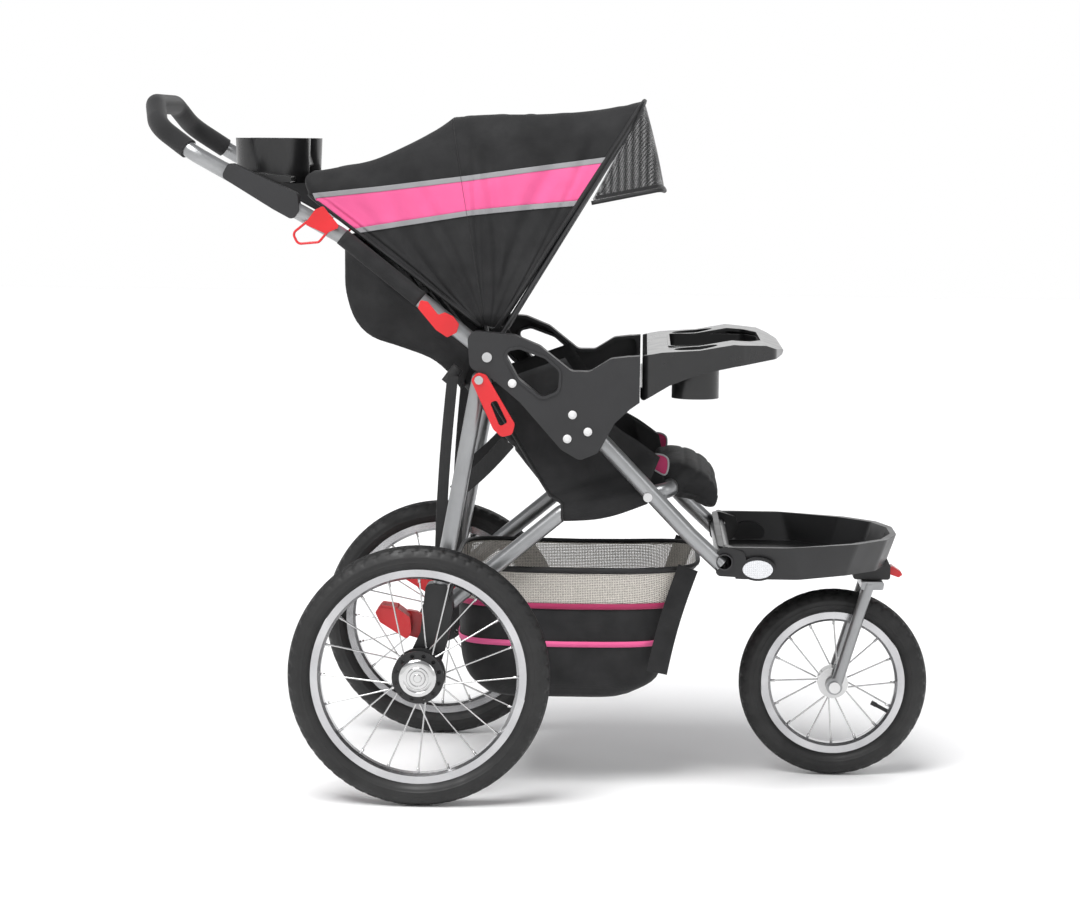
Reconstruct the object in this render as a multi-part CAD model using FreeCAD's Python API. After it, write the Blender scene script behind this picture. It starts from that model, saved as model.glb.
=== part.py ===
import FreeCAD, Part
import math
import os

# Three-wheel jogging stroller, in millimetres.
# X points forward, Y to the stroller's left, Z up, and the floor is Z = 0.
# Side-view positions below are (x, z) pairs with x measured from the rear axle.
# emit() moves every piece so that the origin is the middle of the footprint.
V = FreeCAD.Vector

# ---- driving dimensions ----
ORIGIN_FROM_AXLE = 176.0
REAR_WHEEL_R = 200.0
FRONT_WHEEL_R = 150.5
WHEELBASE = 645.0
TRACK_HALF = 275.0
TYRE_HALF_WIDTH = 23.0
REAR_RIM_R = 164.5
FRONT_RIM_R = 114.5
RIM_DEPTH = 15.0
RIM_HALF_WIDTH = 13.0
SPOKE_R = 1.2
REAR_SPOKES = 20
FRONT_SPOKES = 16
REAR_FLANGE_R = 40.0
FRONT_FLANGE_R = 24.0

TUBE_R = 12.5
TUBE_WALL = 1.6
RAIL_Y = 200.0
LEG_Y = 232.0
FRONT_TUBE_Y = 213.0
SEAT_TUBE_Y = 187.0
GRIP_R = 15.5

HANDLE_PIVOT = (98.5, 684.0)
LEG_PIVOT = (87.0, 650.0)
SEAT_PIVOT = (344.0, 471.6)
LEG_EYE = (30.0, 290.0)
SEAT_FRONT_BAR = (378.0, 479.0)
RECLINE_PIVOT = (207.0, 462.0)
RECLINE_HEM_R = 5.0
BRAKE_PIVOT = (12.0, 257.0)
STEER_X = 703.0
SWIVEL_LEVER_PIVOT = (735.3, 337.0)
AXLE_PIN_R = 6.0
PIVOT_R = 5.0
RUNNING_GAP = 0.05
BODY_GAP = 0.5

BRACKET_OUTER_Y = 250.5
BRACKET_PLATE = 4.0
BRACKET_RIM_Y = 221.5
FABRIC_Y = 187.0
FABRIC_T = 2.0
FRONT_BOW_Y = 180.0
MIDDLE_BOW_Y = 170.0
BOW_R = 4.0

SIDES = (("right", -1.0), ("left", 1.0))


# ---- general helpers ----
def emit(node, shape):
    """Write one piece, moved from the rear axle's frame to the stroller's frame."""
    moved = shape.copy()
    moved.translate(V(-ORIGIN_FROM_AXLE, 0, 0))
    moved.exportStep("parts/" + node + ".step")


def group(shapes):
    """Keep several separate solids together as one node."""
    return Part.makeCompound(shapes)


def corner_arc(before, corner, after, radius):
    """The start, middle and end of the tangent arc that rounds a corner."""
    to_before = before - corner
    to_after = after - corner
    limit = 0.49 * min(to_before.Length, to_after.Length)
    to_before.normalize()
    to_after.normalize()
    half = to_before.getAngle(to_after) / 2
    if math.pi / 2 - half < 0.001:
        return None
    reach = min(radius / math.tan(half), limit)
    inward = to_before + to_after
    inward.normalize()
    arc_radius = reach * math.tan(half)
    centre = corner + inward * (reach / math.cos(half))
    middle = centre - inward * arc_radius
    return corner + to_before * reach, middle, corner + to_after * reach


def rounded_path(points, radius, closed=False):
    """A wire through the points with every corner rounded by a tangent arc."""
    count = len(points)
    arcs = []
    for i in range(count):
        if not closed and i in (0, count - 1):
            arcs.append(None)
            continue
        arcs.append(corner_arc(points[i - 1], points[i], points[(i + 1) % count], radius))
    edges = []
    spans = count if closed else count - 1
    for i in range(spans):
        following = (i + 1) % count
        start = arcs[i][2] if arcs[i] else points[i]
        end = arcs[following][0] if arcs[following] else points[following]
        if (end - start).Length > 0.01:
            edges.append(Part.LineSegment(start, end).toShape())
        if arcs[following]:
            edges.append(Part.Arc(*arcs[following]).toShape())
    return Part.Wire(edges)


def sweep(path, start, heading, radius):
    """A round bar along a path."""
    ring = Part.Wire([Part.makeCircle(radius, start, heading)])
    return path.makePipeShell([ring], True, True)


def bent_bar(points, radius, bend):
    """A solid round bar bent through the points."""
    path = rounded_path(points, bend)
    return sweep(path, points[0], points[1] - points[0], radius)


def bent_tube(points, radius, wall, bend):
    """A round tube bent through the points."""
    path = rounded_path(points, bend)
    heading = points[1] - points[0]
    outer = sweep(path, points[0], heading, radius)
    inner = sweep(path, points[0], heading, radius - wall)
    return outer.cut(inner)


def side_wire(points, radius, y=0.0):
    """A closed outline in the side view."""
    return rounded_path([V(x, y, z) for x, z in points], radius, closed=True)


def side_plate(points, y_low, y_high, radius=3.0):
    """A side-view outline given thickness across the stroller."""
    face = Part.Face(side_wire(points, radius, y_low))
    return face.extrude(V(0, y_high - y_low, 0))


def top_plate(points, z_low, z_high, radius=3.0):
    """A plan-view outline given thickness in height."""
    wire = rounded_path([V(x, y, z_low) for x, y in points], radius, closed=True)
    return Part.Face(wire).extrude(V(0, 0, z_high - z_low))


def cross_pin(centre, y_low, y_high, radius):
    """A pin or hole that lies across the stroller."""
    start = V(centre[0], y_low, centre[1])
    return Part.makeCylinder(radius, y_high - y_low, start, V(0, 1, 0))


def upright(centre, z_low, z_high, radius):
    """An upright pin, cup or hole."""
    return Part.makeCylinder(radius, z_high - z_low, V(centre[0], centre[1], z_low), V(0, 0, 1))


def across(side, near, far):
    """The low and high Y of a span given by its distances from the middle plane."""
    return min(side * near, side * far), max(side * near, side * far)


def turned(profile, centre_x, centre_z):
    """A ring or hub turned about a cross axis: profile is (radius, y) pairs."""
    points = [V(centre_x + r, y, centre_z) for r, y in profile]
    face = Part.Face(Part.makePolygon(points + [points[0]]))
    return face.revolve(V(centre_x, 0, centre_z), V(0, 1, 0), 360)


def turned_smooth(profile, centre_x, centre_z):
    """The same, with the profile drawn as one smooth closed curve."""
    curve = Part.BSplineCurve()
    curve.interpolate([V(centre_x + r, y, centre_z) for r, y in profile], PeriodicFlag=True)
    face = Part.Face(Part.Wire([curve.toShape()]))
    return face.revolve(V(centre_x, 0, centre_z), V(0, 1, 0), 360)


def inset_plan(points, amount, middle_x):
    """Draw a plan outline in towards its middle by a fixed amount."""
    result = []
    for x, y in points:
        new_x = x - math.copysign(min(amount, abs(x - middle_x)), x - middle_x)
        new_y = y - math.copysign(min(amount, abs(y)), y)
        result.append((new_x, new_y))
    return result


# ---- wheels ----
def tyre(radius, rim_radius, x, y):
    depth = radius - rim_radius
    half = TYRE_HALF_WIDTH
    profile = [
        (radius, y),
        (radius - 0.10 * depth, y + 0.55 * half),
        (radius - 0.42 * depth, y + 0.97 * half),
        (radius - 0.80 * depth, y + 0.80 * half),
        (radius - 1.03 * depth, y + 0.45 * half),
        (radius - 1.06 * depth, y),
        (radius - 1.03 * depth, y - 0.45 * half),
        (radius - 0.80 * depth, y - 0.80 * half),
        (radius - 0.42 * depth, y - 0.97 * half),
        (radius - 0.10 * depth, y - 0.55 * half),
    ]
    body = turned_smooth(profile, x, radius)
    seat = turned([(r, y + w) for r, w in rim_profile(rim_radius, True)], x, radius)
    return body.cut(seat)


def rim_profile(rim_radius, filled):
    inner = rim_radius - RIM_DEPTH
    half = RIM_HALF_WIDTH
    outline = [
        (inner, -0.55 * half),
        (inner + 4, -0.95 * half),
        (rim_radius, -half),
        (rim_radius, -half + 2),
    ]
    if not filled:
        outline += [(inner + 6, -0.8 * half + 2), (inner + 3, 0), (inner + 6, 0.8 * half - 2)]
    outline += [
        (rim_radius, half - 2),
        (rim_radius, half),
        (inner + 4, 0.95 * half),
        (inner, 0.55 * half),
    ]
    return outline


def rim(rim_radius, x, y, z):
    return turned([(r, y + w) for r, w in rim_profile(rim_radius, False)], x, z)


def spokes(count, flange_radius, rim_radius, x, y, z, flange):
    """Crossed wire spokes, laced from two hub flanges to the rim."""
    wires = []
    lead = math.radians(14)
    for i in range(count):
        angle = 2 * math.pi * i / count
        side = 1 if i % 2 else -1
        turn = lead if (i // 2) % 2 else -lead
        start = V(
            x + (flange_radius + SPOKE_R) * math.cos(angle + turn),
            y + side * flange,
            z + (flange_radius + SPOKE_R) * math.sin(angle + turn),
        )
        reach = rim_radius - RIM_DEPTH - 0.5
        end = V(x + reach * math.cos(angle), y + side * 2.0, z + reach * math.sin(angle))
        wires.append(Part.makeCylinder(SPOKE_R, (end - start).Length, start, end - start))
    return group(wires)


def rear_hub(y, side):
    """Black slotted hub with two flanges and a bright cap on its outer end."""
    outer = y + side * 24.0
    inner = y - side * 22.0
    profile = [
        (AXLE_PIN_R + RUNNING_GAP, inner),
        (17, inner),
        (17, y - side * 17),
        (REAR_FLANGE_R, y - side * 16),
        (REAR_FLANGE_R, y - side * 12),
        (19, y - side * 10),
        (19, y + side * 10),
        (REAR_FLANGE_R, y + side * 12),
        (REAR_FLANGE_R, y + side * 16),
        (26, y + side * 17),
        (26, outer - side * 2),
        (24, outer),
        (10, outer),
        (10, outer - side * 5),
        (AXLE_PIN_R + RUNNING_GAP, outer - side * 5),
    ]
    hub = turned(profile, 0, REAR_WHEEL_R)
    slot_ring = []
    for i in range(12):
        angle = math.radians(30 * i + 15)
        centre = (33 * math.cos(angle), REAR_WHEEL_R + 33 * math.sin(angle))
        slot_ring.append(cross_pin(centre, y - 17, y + 17, 3.2))
    return hub.cut(group(slot_ring))


def front_hub():
    x = WHEELBASE
    profile = [
        (AXLE_PIN_R + RUNNING_GAP, -26),
        (13, -26),
        (13, -19),
        (FRONT_FLANGE_R, -18),
        (FRONT_FLANGE_R, -14),
        (14, -12),
        (14, 12),
        (FRONT_FLANGE_R, 14),
        (FRONT_FLANGE_R, 18),
        (13, 19),
        (13, 26),
        (AXLE_PIN_R + RUNNING_GAP, 26),
    ]
    return turned(profile, x, FRONT_WHEEL_R)


def make_wheels():
    for name, side in SIDES:
        y = side * TRACK_HALF
        emit("rear_tyre_" + name, tyre(REAR_WHEEL_R, REAR_RIM_R, 0, y))
        emit("rear_rim_" + name, rim(REAR_RIM_R, 0, y, REAR_WHEEL_R))
        emit("rear_spokes_" + name, spokes(REAR_SPOKES, REAR_FLANGE_R, REAR_RIM_R, 0, y, REAR_WHEEL_R, 14))
        emit("rear_hub_" + name, rear_hub(y, side))
    emit("front_tyre", tyre(FRONT_WHEEL_R, FRONT_RIM_R, WHEELBASE, 0))
    emit("front_rim", rim(FRONT_RIM_R, WHEELBASE, 0, FRONT_WHEEL_R))
    front_wires = spokes(FRONT_SPOKES, FRONT_FLANGE_R, FRONT_RIM_R, WHEELBASE, 0, FRONT_WHEEL_R, 16)
    emit("front_spokes", front_wires)
    emit("front_hub", front_hub())


# ---- fork ----
FORK_Y = 41.0
CROWN_Z = 312.0


def make_fork():
    axle = (WHEELBASE, FRONT_WHEEL_R)
    pieces = []
    for _, side in SIDES:
        y = side * FORK_Y
        leg = bent_bar(
            [
                V(STEER_X - 6, y, CROWN_Z + 4),
                V(STEER_X - 22, y, 262),
                V(axle[0] + 2, y, axle[1] - 2),
            ],
            9.5,
            60,
        )
        eye_low, eye_high = across(side, FORK_Y - 10, FORK_Y + 8)
        eye = cross_pin(axle, eye_low, eye_high, 13)
        pieces.append(leg.fuse(eye))
    crown = side_plate(
        [
            (STEER_X - 20, CROWN_Z - 5),
            (STEER_X + 16, CROWN_Z - 5),
            (STEER_X + 18, CROWN_Z + 8),
            (STEER_X - 18, CROWN_Z + 8),
        ],
        -FORK_Y - 8,
        FORK_Y + 8,
        4,
    )
    steerer = upright((STEER_X, 0), CROWN_Z, 372, 9.0)
    fork = crown.fuse(pieces + [steerer])
    fork = fork.cut(cross_pin(axle, -60, 60, AXLE_PIN_R))
    emit("fork", fork)

    skewer = cross_pin(axle, -FORK_Y - 15, FORK_Y + 15, AXLE_PIN_R)
    nut = cross_pin(axle, FORK_Y + 9.7, FORK_Y + 18, 9)
    cap = cross_pin(axle, -FORK_Y - 18, -FORK_Y - 9.7, 9)
    lever = side_plate(
        [(636, 156), (640, 142), (652, 142), (668, 176), (660, 180), (648, 158)],
        FORK_Y + 18,
        FORK_Y + 23,
        3,
    )
    emit("front_axle", skewer.fuse([nut, cap, lever]))


def make_stem():
    body = side_plate(
        [(672, 321.5), (731, 321.5), (731, 343), (722, 362), (680, 362), (672, 345)],
        -34,
        34,
        5,
    )
    body = body.cut(upright((STEER_X, 0), 300, 380, 13))
    emit("stem_housing", body)
    rings = []
    for low in (323, 352):
        ring = upright((STEER_X, 0), low, low + 8, 13)
        rings.append(ring.cut(upright((STEER_X, 0), low - 1, low + 9, 9 + RUNNING_GAP)))
    emit("steering_bearings", group(rings))
    lever = side_plate(
        [(732, 327), (746, 322), (752, 326), (750, 331), (738, 339), (732, 339)],
        -11,
        11,
        2,
    )
    barrel = cross_pin(SWIVEL_LEVER_PIVOT, -13, 13, 3.2)
    emit("swivel_lock_lever", lever.fuse(barrel))


# ---- foot tray ----
TRAY_PLAN = [(452, -222), (560, -221), (668, -168), (718, -112), (738, -45)]
TRAY_RIM_Z = 396.0
TRAY_BASE_Z = 345.0
CROSS_TUBE = (462.0, 374.0)
REFLECTOR = (513.0, 363.0)


def oval_plate(centre, half_length, half_height, y_low, y_high):
    """An oval plate or pad on the side of the foot tray."""
    oval = Part.Ellipse(V(0, 0, 0), half_length, half_height)
    face = Part.Face(Part.Wire([oval.toShape()]))
    face.rotate(V(0, 0, 0), V(1, 0, 0), 90)
    face.translate(V(centre[0], y_low, centre[1]))
    return face.extrude(V(0, y_high - y_low, 0))


def make_foot_tray():
    right = TRAY_PLAN
    left = [(x, -y) for x, y in reversed(TRAY_PLAN)]
    plan = right + left
    base_plan = inset_plan(plan, 16, 590)

    def loft(low, high, z_low, z_high, radius):
        wires = []
        for outline, z in ((low, z_low), (high, z_high)):
            wires.append(rounded_path([V(x, y, z) for x, y in outline], radius, closed=True))
        return Part.makeLoft(wires, True, True)

    outer = loft(base_plan, plan, TRAY_BASE_Z, TRAY_RIM_Z, 26)
    basin_low = inset_plan(base_plan, 6, 590)
    basin_high = inset_plan(plan, 9, 590)
    basin = loft(basin_low, basin_high, TRAY_BASE_Z + 5, TRAY_RIM_Z + 1, 22)
    tray = outer.cut(basin)
    well = upright((STEER_X, 0), TRAY_BASE_Z - 1, 364, 44)
    tray = tray.fuse(well.common(loft(base_plan, plan, TRAY_BASE_Z, TRAY_RIM_Z, 26)))
    housing_room = side_plate(
        [(671, 321), (732, 321), (732, 343), (723, 362.5), (679, 362.5), (671, 345)], -35, 35, 5
    )
    tray = tray.cut(housing_room)
    tray = tray.cut(upright((STEER_X, 0), 340, 380, 14))
    tray = tray.cut(Part.makeBox(60, 470, 27, V(420, -235, 340)))
    for _, side in SIDES:
        low, high = across(side, 196, 222)
        ear = side_plate(
            [(450, 352), (487, 350), (497, 372), (492, 389), (462, 398), (446, 384)], low, high, 8
        )
        tray = tray.fuse(ear)
    reflector_pads = []
    socket = [cross_pin(CROSS_TUBE, -232, 232, TUBE_R + BODY_GAP)]
    for _, side in SIDES:
        reflector_pads.append(oval_plate(REFLECTOR, 27, 18, *across(side, 200, 222)))
        socket.append(front_tube_bar(side, TUBE_R))
    tray = tray.fuse(reflector_pads).cut(group(socket))
    ribs = []
    for i in range(7):
        low = 510 + 22 * i
        ribs.append(Part.makeBox(9, 200, 3, V(low, -100, TRAY_BASE_Z + 4)))
    emit("foot_tray", tray.fuse(ribs))

    roller = cross_pin(CROSS_TUBE, -229, 229, TUBE_R)
    roller = roller.cut(cross_pin(CROSS_TUBE, -230, 230, TUBE_R - TUBE_WALL))
    cut = [front_tube_bar(side, TUBE_R) for _, side in SIDES]
    emit("tray_cross_tube", roller.cut(group(cut)))

    lenses = [oval_plate(REFLECTOR, 23, 14, *across(side, 222, 225)) for _, side in SIDES]
    emit("tray_reflectors", group(lenses))


# ---- frame tubes ----
def front_tube_points(side):
    y = side * FRONT_TUBE_Y
    return [V(222, y, 611), V(278, y, 550), V(409, y, 413), V(458, y, 368)]


def front_tube_bar(side, radius):
    return bent_bar(front_tube_points(side), radius, 200)


def make_front_tubes():
    for name, side in SIDES:
        tube = bent_tube(front_tube_points(side), TUBE_R, TUBE_WALL, 200)
        low, high = across(side, 180, 240)
        tube = tube.cut(cross_pin(SEAT_PIVOT, low, high, 4.0))
        emit("front_tube_" + name, tube)


BRACKET_OUTLINE = [
    (68, 724),
    (139, 718),
    (178, 702),
    (226, 664),
    (254, 664),
    (286, 684),
    (328, 689),
    (328, 620),
    (292, 586),
    (268, 541),
    (240, 529),
    (212, 545),
    (148, 617),
    (108, 650),
    (72, 668),
]
BRACKET_HOLE = [(124, 692), (147, 697), (186, 683), (208, 664), (206, 634), (182, 624), (146, 652)]
BRACKET_END = [(296, 685), (329.5, 688.5), (329.5, 618), (310, 604), (296, 600)]
RIVET_R = 6.5
BRACKET_RIVETS = [(137, 645), (228.5, 598.5), (252, 573), (221, 562)]


def make_brackets():
    rivets = []
    for name, side in SIDES:
        plate_low, plate_high = across(side, BRACKET_OUTER_Y - BRACKET_PLATE, BRACKET_OUTER_Y)
        rim_low, rim_high = across(side, BRACKET_RIM_Y, BRACKET_OUTER_Y)
        solid = side_plate(BRACKET_OUTLINE, rim_low, rim_high, 14)
        solid = solid.fuse(side_plate(BRACKET_END, rim_low, rim_high, 1))
        face = Part.Face(side_wire(BRACKET_OUTLINE, 14, rim_low))
        inner_face = face.makeOffset2D(-5)
        core_depth = (BRACKET_OUTER_Y - BRACKET_PLATE) - BRACKET_RIM_Y + 1
        core = inner_face.copy()
        if side < 0:
            core.translate(V(0, BRACKET_PLATE, 0))
        else:
            core.translate(V(0, -1, 0))
        core = core.extrude(V(0, core_depth, 0))
        shell = solid.cut(core)
        collar_wide = Part.Face(side_wire(BRACKET_HOLE, 12, rim_low)).makeOffset2D(4)
        collar_wide = collar_wide.extrude(V(0, rim_high - rim_low, 0))
        shell = shell.fuse(collar_wide)
        hole_low, hole_high = across(side, BRACKET_RIM_Y - 2, BRACKET_OUTER_Y + 4)
        lip = Part.Face(side_wire(BRACKET_HOLE, 12, 0)).makeOffset2D(4)
        lip_low, lip_high = across(side, BRACKET_OUTER_Y - 1, BRACKET_OUTER_Y + 2)
        lip.translate(V(0, lip_low, 0))
        shell = shell.fuse(lip.extrude(V(0, lip_high - lip_low, 0)))
        shell = shell.cut(side_plate(BRACKET_HOLE, hole_low, hole_high, 12))
        boss_low, boss_high = across(side, BRACKET_RIM_Y, BRACKET_OUTER_Y - 1)
        shell = shell.fuse(cross_pin(HANDLE_PIVOT, boss_low, boss_high, 9))
        leg_room = leg_bar(side, TUBE_R + 1.2)
        sweep_room = cross_pin(LEG_PIVOT, *across(side, 214, 246), TUBE_R + 3)
        shell = shell.cut(leg_room.fuse(sweep_room))
        swing = side_plate(
            [(60, 600), (130, 560), (210, 560), (118, 640), (100, 662), (70, 672)],
            *across(side, 214, 246.2),
            3,
        )
        shell = shell.cut(swing)
        shell = shell.cut(front_tube_bar(side, TUBE_R))
        shell = shell.cut(cross_pin(LEG_PIVOT, *across(side, 200, 262), PIVOT_R))
        shell = shell.cut(cross_pin(HANDLE_PIVOT, *across(side, 200, 262), PIVOT_R))
        emit("side_bracket_" + name, shell)

        for centre in BRACKET_RIVETS:
            head = cross_pin(centre, *across(side, BRACKET_OUTER_Y, BRACKET_OUTER_Y + 1.4), RIVET_R)
            start = V(centre[0], side * (BRACKET_OUTER_Y + 1.4), centre[1])
            crown = Part.makeCone(RIVET_R, 0.55 * RIVET_R, 1.6, start, V(0, side, 0))
            rivets.append(head.fuse(crown))
    emit("bracket_rivets", group(rivets))


def make_pivot_bolts():
    """Bolts of the handle, leg and seat pivots, all fixed in the brackets and front tubes."""
    bolts = []
    for _, side in SIDES:
        handle_bolt = cross_pin(HANDLE_PIVOT, *across(side, 158, 251), PIVOT_R)
        handle_head = cross_pin(HANDLE_PIVOT, *across(side, 250.5, 252.5), 7.5)
        bolts.append(handle_bolt.fuse(handle_head))
        leg_bolt = cross_pin(LEG_PIVOT, *across(side, 217, 260), PIVOT_R)
        leg_head = cross_pin(LEG_PIVOT, *across(side, 259.5, 262), 6.5)
        bolts.append(leg_bolt.fuse(leg_head))
        seat_bolt = cross_pin(SEAT_PIVOT, *across(side, 172, 228), 4.0)
        seat_head = cross_pin(SEAT_PIVOT, *across(side, 226, 229), 7.0)
        bolts.append(seat_bolt.fuse(seat_head))
    return bolts


# ---- rear frame ----
def leg_bar(side, radius):
    y = side * LEG_Y
    start = V(LEG_PIVOT[0], y, LEG_PIVOT[1])
    end = V(12, y, 232)
    return Part.makeCylinder(radius, (end - start).Length, start, end - start)


def make_rear_frame():
    for name, side in SIDES:
        leg = leg_bar(side, TUBE_R)
        top = Part.makeSphere(TUBE_R, V(LEG_PIVOT[0], side * LEG_Y, LEG_PIVOT[1]))
        leg = leg.fuse(top).cut(leg_bar(side, TUBE_R - TUBE_WALL))
        leg = leg.cut(cross_pin(LEG_PIVOT, *across(side, 200, 260), PIVOT_R + RUNNING_GAP))
        emit("rear_leg_" + name, leg)

        foot = side_plate(
            [
                (8, 338),
                (46, 334),
                (50, 296),
                (42, 250),
                (26, 196),
                (12, 176),
                (-14, 178),
                (-24, 204),
                (-12, 236),
                (0, 262),
            ],
            *across(side, 216, 248),
            9,
        )
        foot = foot.cut(leg_bar(side, TUBE_R))
        foot = foot.cut(cross_pin((0, REAR_WHEEL_R), *across(side, 200, 260), TUBE_R))
        emit("axle_bracket_" + name, foot)

    centre = (0, REAR_WHEEL_R)
    tube = cross_pin(centre, -248, 248, TUBE_R)
    stubs = cross_pin(centre, -TRACK_HALF - 18, TRACK_HALF + 18, AXLE_PIN_R)
    emit("rear_axle_tube", tube.fuse(stubs))

    pins = []
    for _, side in SIDES:
        pins.append(cross_pin(BRAKE_PIVOT, *across(side, 200.5, 216), 4.0))
        pins.append(cross_pin(LEG_EYE, *across(side, 200.2, 216), 4.0))
    emit("rear_bracket_pins", group(pins))


def make_brakes():
    for name, side in SIDES:
        arm = side_plate(
            [(-30, 292), (-24, 252), (12, 242), (26, 256), (20, 272), (-8, 288)],
            *across(side, 201, 215),
            8,
        )
        plate = side_plate(
            [(-70, 292), (-62, 276), (-20, 250), (-14, 262), (-16, 284), (-34, 297), (-62, 299)],
            *across(side, 201.5, 245),
            5,
        )
        pedal = arm.fuse(plate)
        ribs = []
        for i in range(5):
            low, high = across(side, 205 + 9 * i, 208 + 9 * i)
            ribs.append(side_plate([(-66, 297), (-60, 303), (-36, 300), (-32, 294)], low, high, 1))
        pedal = pedal.fuse(ribs)
        pedal = pedal.cut(cross_pin(BRAKE_PIVOT, *across(side, 190, 230), 4.0 + RUNNING_GAP))
        emit("brake_pedal_" + name, pedal)


def make_lock_levers():
    for name, side in SIDES:
        outline = [(75, 650), (84, 662), (98, 658), (142, 584), (138, 568), (122, 564), (109, 576)]
        lever = side_plate(outline, *across(side, 253.5, 259), 8)
        slot = side_plate([(104, 616), (114, 620), (131, 586), (119, 580)], *across(side, 250, 262), 4)
        lever = lever.cut(slot)
        lever = lever.cut(cross_pin(LEG_PIVOT, *across(side, 250, 262), PIVOT_R + RUNNING_GAP))
        emit("lock_lever_" + name, lever)


# ---- seat frame and soft seat ----
def make_seat_frame():
    half = [
        V(LEG_EYE[0], -SEAT_TUBE_Y, LEG_EYE[1]),
        V(214, -SEAT_TUBE_Y, 443),
        V(344, -SEAT_TUBE_Y, 471.6),
        V(SEAT_FRONT_BAR[0], -SEAT_TUBE_Y, SEAT_FRONT_BAR[1]),
    ]
    other = [V(p.x, -p.y, p.z) for p in reversed(half)]
    tube = bent_tube(half + other, TUBE_R, TUBE_WALL, 34)
    tube = tube.cut(cross_pin(SEAT_PIVOT, -240, 240, 4.0 + RUNNING_GAP))
    emit("seat_frame_tube", tube)


SEAT_HALF_W = 156.0


def make_seat():
    base = side_plate(
        [(214, 462), (222, 446), (300, 462), (352, 488), (352, 514), (330, 520), (232, 500)],
        -SEAT_HALF_W,
        SEAT_HALF_W,
        10,
    )
    walls = []
    for _, side in SIDES:
        wall = side_plate(
            [
                (204, 440),
                (232, 433),
                (300, 450),
                (334, 476),
                (300, 560),
                (226, 650),
                (206, 684),
                (138, 676),
                (94, 632),
            ],
            *across(side, SEAT_HALF_W - 1, SEAT_HALF_W + 6),
            10,
        )
        walls.append(wall)
    hem_room = cross_pin(RECLINE_PIVOT, -SEAT_HALF_W + 1, SEAT_HALF_W - 1, RECLINE_HEM_R + 1)
    emit("seat_pan", base.fuse(walls).cut(hem_room))

    calf = side_plate(
        [
            (354.5, 478),
            (372, 462),
            (408, 460),
            (432, 448),
            (440, 440),
            (453, 437),
            (458, 462),
            (446, 486),
            (412, 507),
            (366, 512),
            (354.5, 502),
        ],
        -150,
        150,
        6,
    )
    bar_room = cross_pin(SEAT_FRONT_BAR, -151, 151, TUBE_R + BODY_GAP)
    emit("calf_rest", calf.cut(bar_room))

    back = side_plate(
        [(188, 466), (200, 458), (209, 460), (210, 470), (214, 480), (-96, 862), (-112, 864),
         (-118, 846)],
        -SEAT_HALF_W + 3,
        SEAT_HALF_W - 3,
        3,
    )
    hem = cross_pin(RECLINE_PIVOT, -SEAT_HALF_W + 5, SEAT_HALF_W - 5, RECLINE_HEM_R)
    emit("seat_back", back.fuse(hem))


def make_harness():
    slope = (-310.0, 382.0)
    length = math.hypot(*slope)
    ux, uz = slope[0] / length, slope[1] / length
    nx, nz = uz, -ux
    straps = []
    for _, side in SIDES:
        low, high = across(side, 40, 60)
        foot = (214 + 150 * ux + 0.4 * nx, 480 + 150 * uz + 0.4 * nz)
        head = (214 + 400 * ux + 0.4 * nx, 480 + 400 * uz + 0.4 * nz)
        outline = [
            foot,
            (foot[0] + 3 * nx, foot[1] + 3 * nz),
            (head[0] + 3 * nx, head[1] + 3 * nz),
            head,
        ]
        straps.append(side_plate(outline, low, high, 1))
    emit("shoulder_straps", group(straps))
    belt = Part.makeBox(22, 2 * SEAT_HALF_W - 8, 3, V(256, -SEAT_HALF_W + 4, 512))
    crotch = Part.makeBox(60, 24, 3, V(278, -12, 521))
    buckle = Part.makeBox(36, 46, 12, V(250, -23, 512))
    buckle = buckle.makeFillet(4, buckle.Edges)
    emit("lap_belt", buckle.fuse([belt, crotch]))


# ---- basket ----
BASKET_SIDE = [
    (46, 300),
    (50, 205),
    (84, 140),
    (168, 133),
    (290, 140),
    (352, 168),
    (372, 250),
    (424, 352),
]
BASKET_SPLIT_X = 292.0
BASKET_HALF_W = 165.0


def make_basket():
    outline = BASKET_SIDE + [(300, 358), (120, 352)]
    outer = side_plate(outline, -BASKET_HALF_W, BASKET_HALF_W, 18)
    room = Part.Face(side_wire(outline, 18, -BASKET_HALF_W + 3)).makeOffset2D(-3)
    room = room.extrude(V(0, 2 * BASKET_HALF_W - 6, 0))
    mouth = side_plate(
        [(52, 303), (120, 340), (300, 340), (416, 340), (416, 380), (52, 380)],
        -BASKET_HALF_W + 3,
        BASKET_HALF_W - 3,
        4,
    )
    tub = outer.cut(room.fuse(mouth))
    front = tub.common(Part.makeBox(200, 400, 400, V(BASKET_SPLIT_X, -200, 100)))
    rear = tub.common(Part.makeBox(260, 400, 400, V(BASKET_SPLIT_X - 260, -200, 100)))
    emit("basket_front", front)
    emit("basket_rear", rear)


# ---- handle ----
HANDLE_BEND = (-129.5, 864.0)
HANDLE_SHOULDER = (-352.0, 985.0)


def handle_points():
    half = [
        V(HANDLE_PIVOT[0], -RAIL_Y, HANDLE_PIVOT[1]),
        V(HANDLE_BEND[0], -RAIL_Y, HANDLE_BEND[1]),
        V(HANDLE_SHOULDER[0], -RAIL_Y, HANDLE_SHOULDER[1]),
        V(-412, -170, 1026),
        V(-428, -96, 1060),
    ]
    return half + [V(p.x, -p.y, p.z) for p in reversed(half)]


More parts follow.
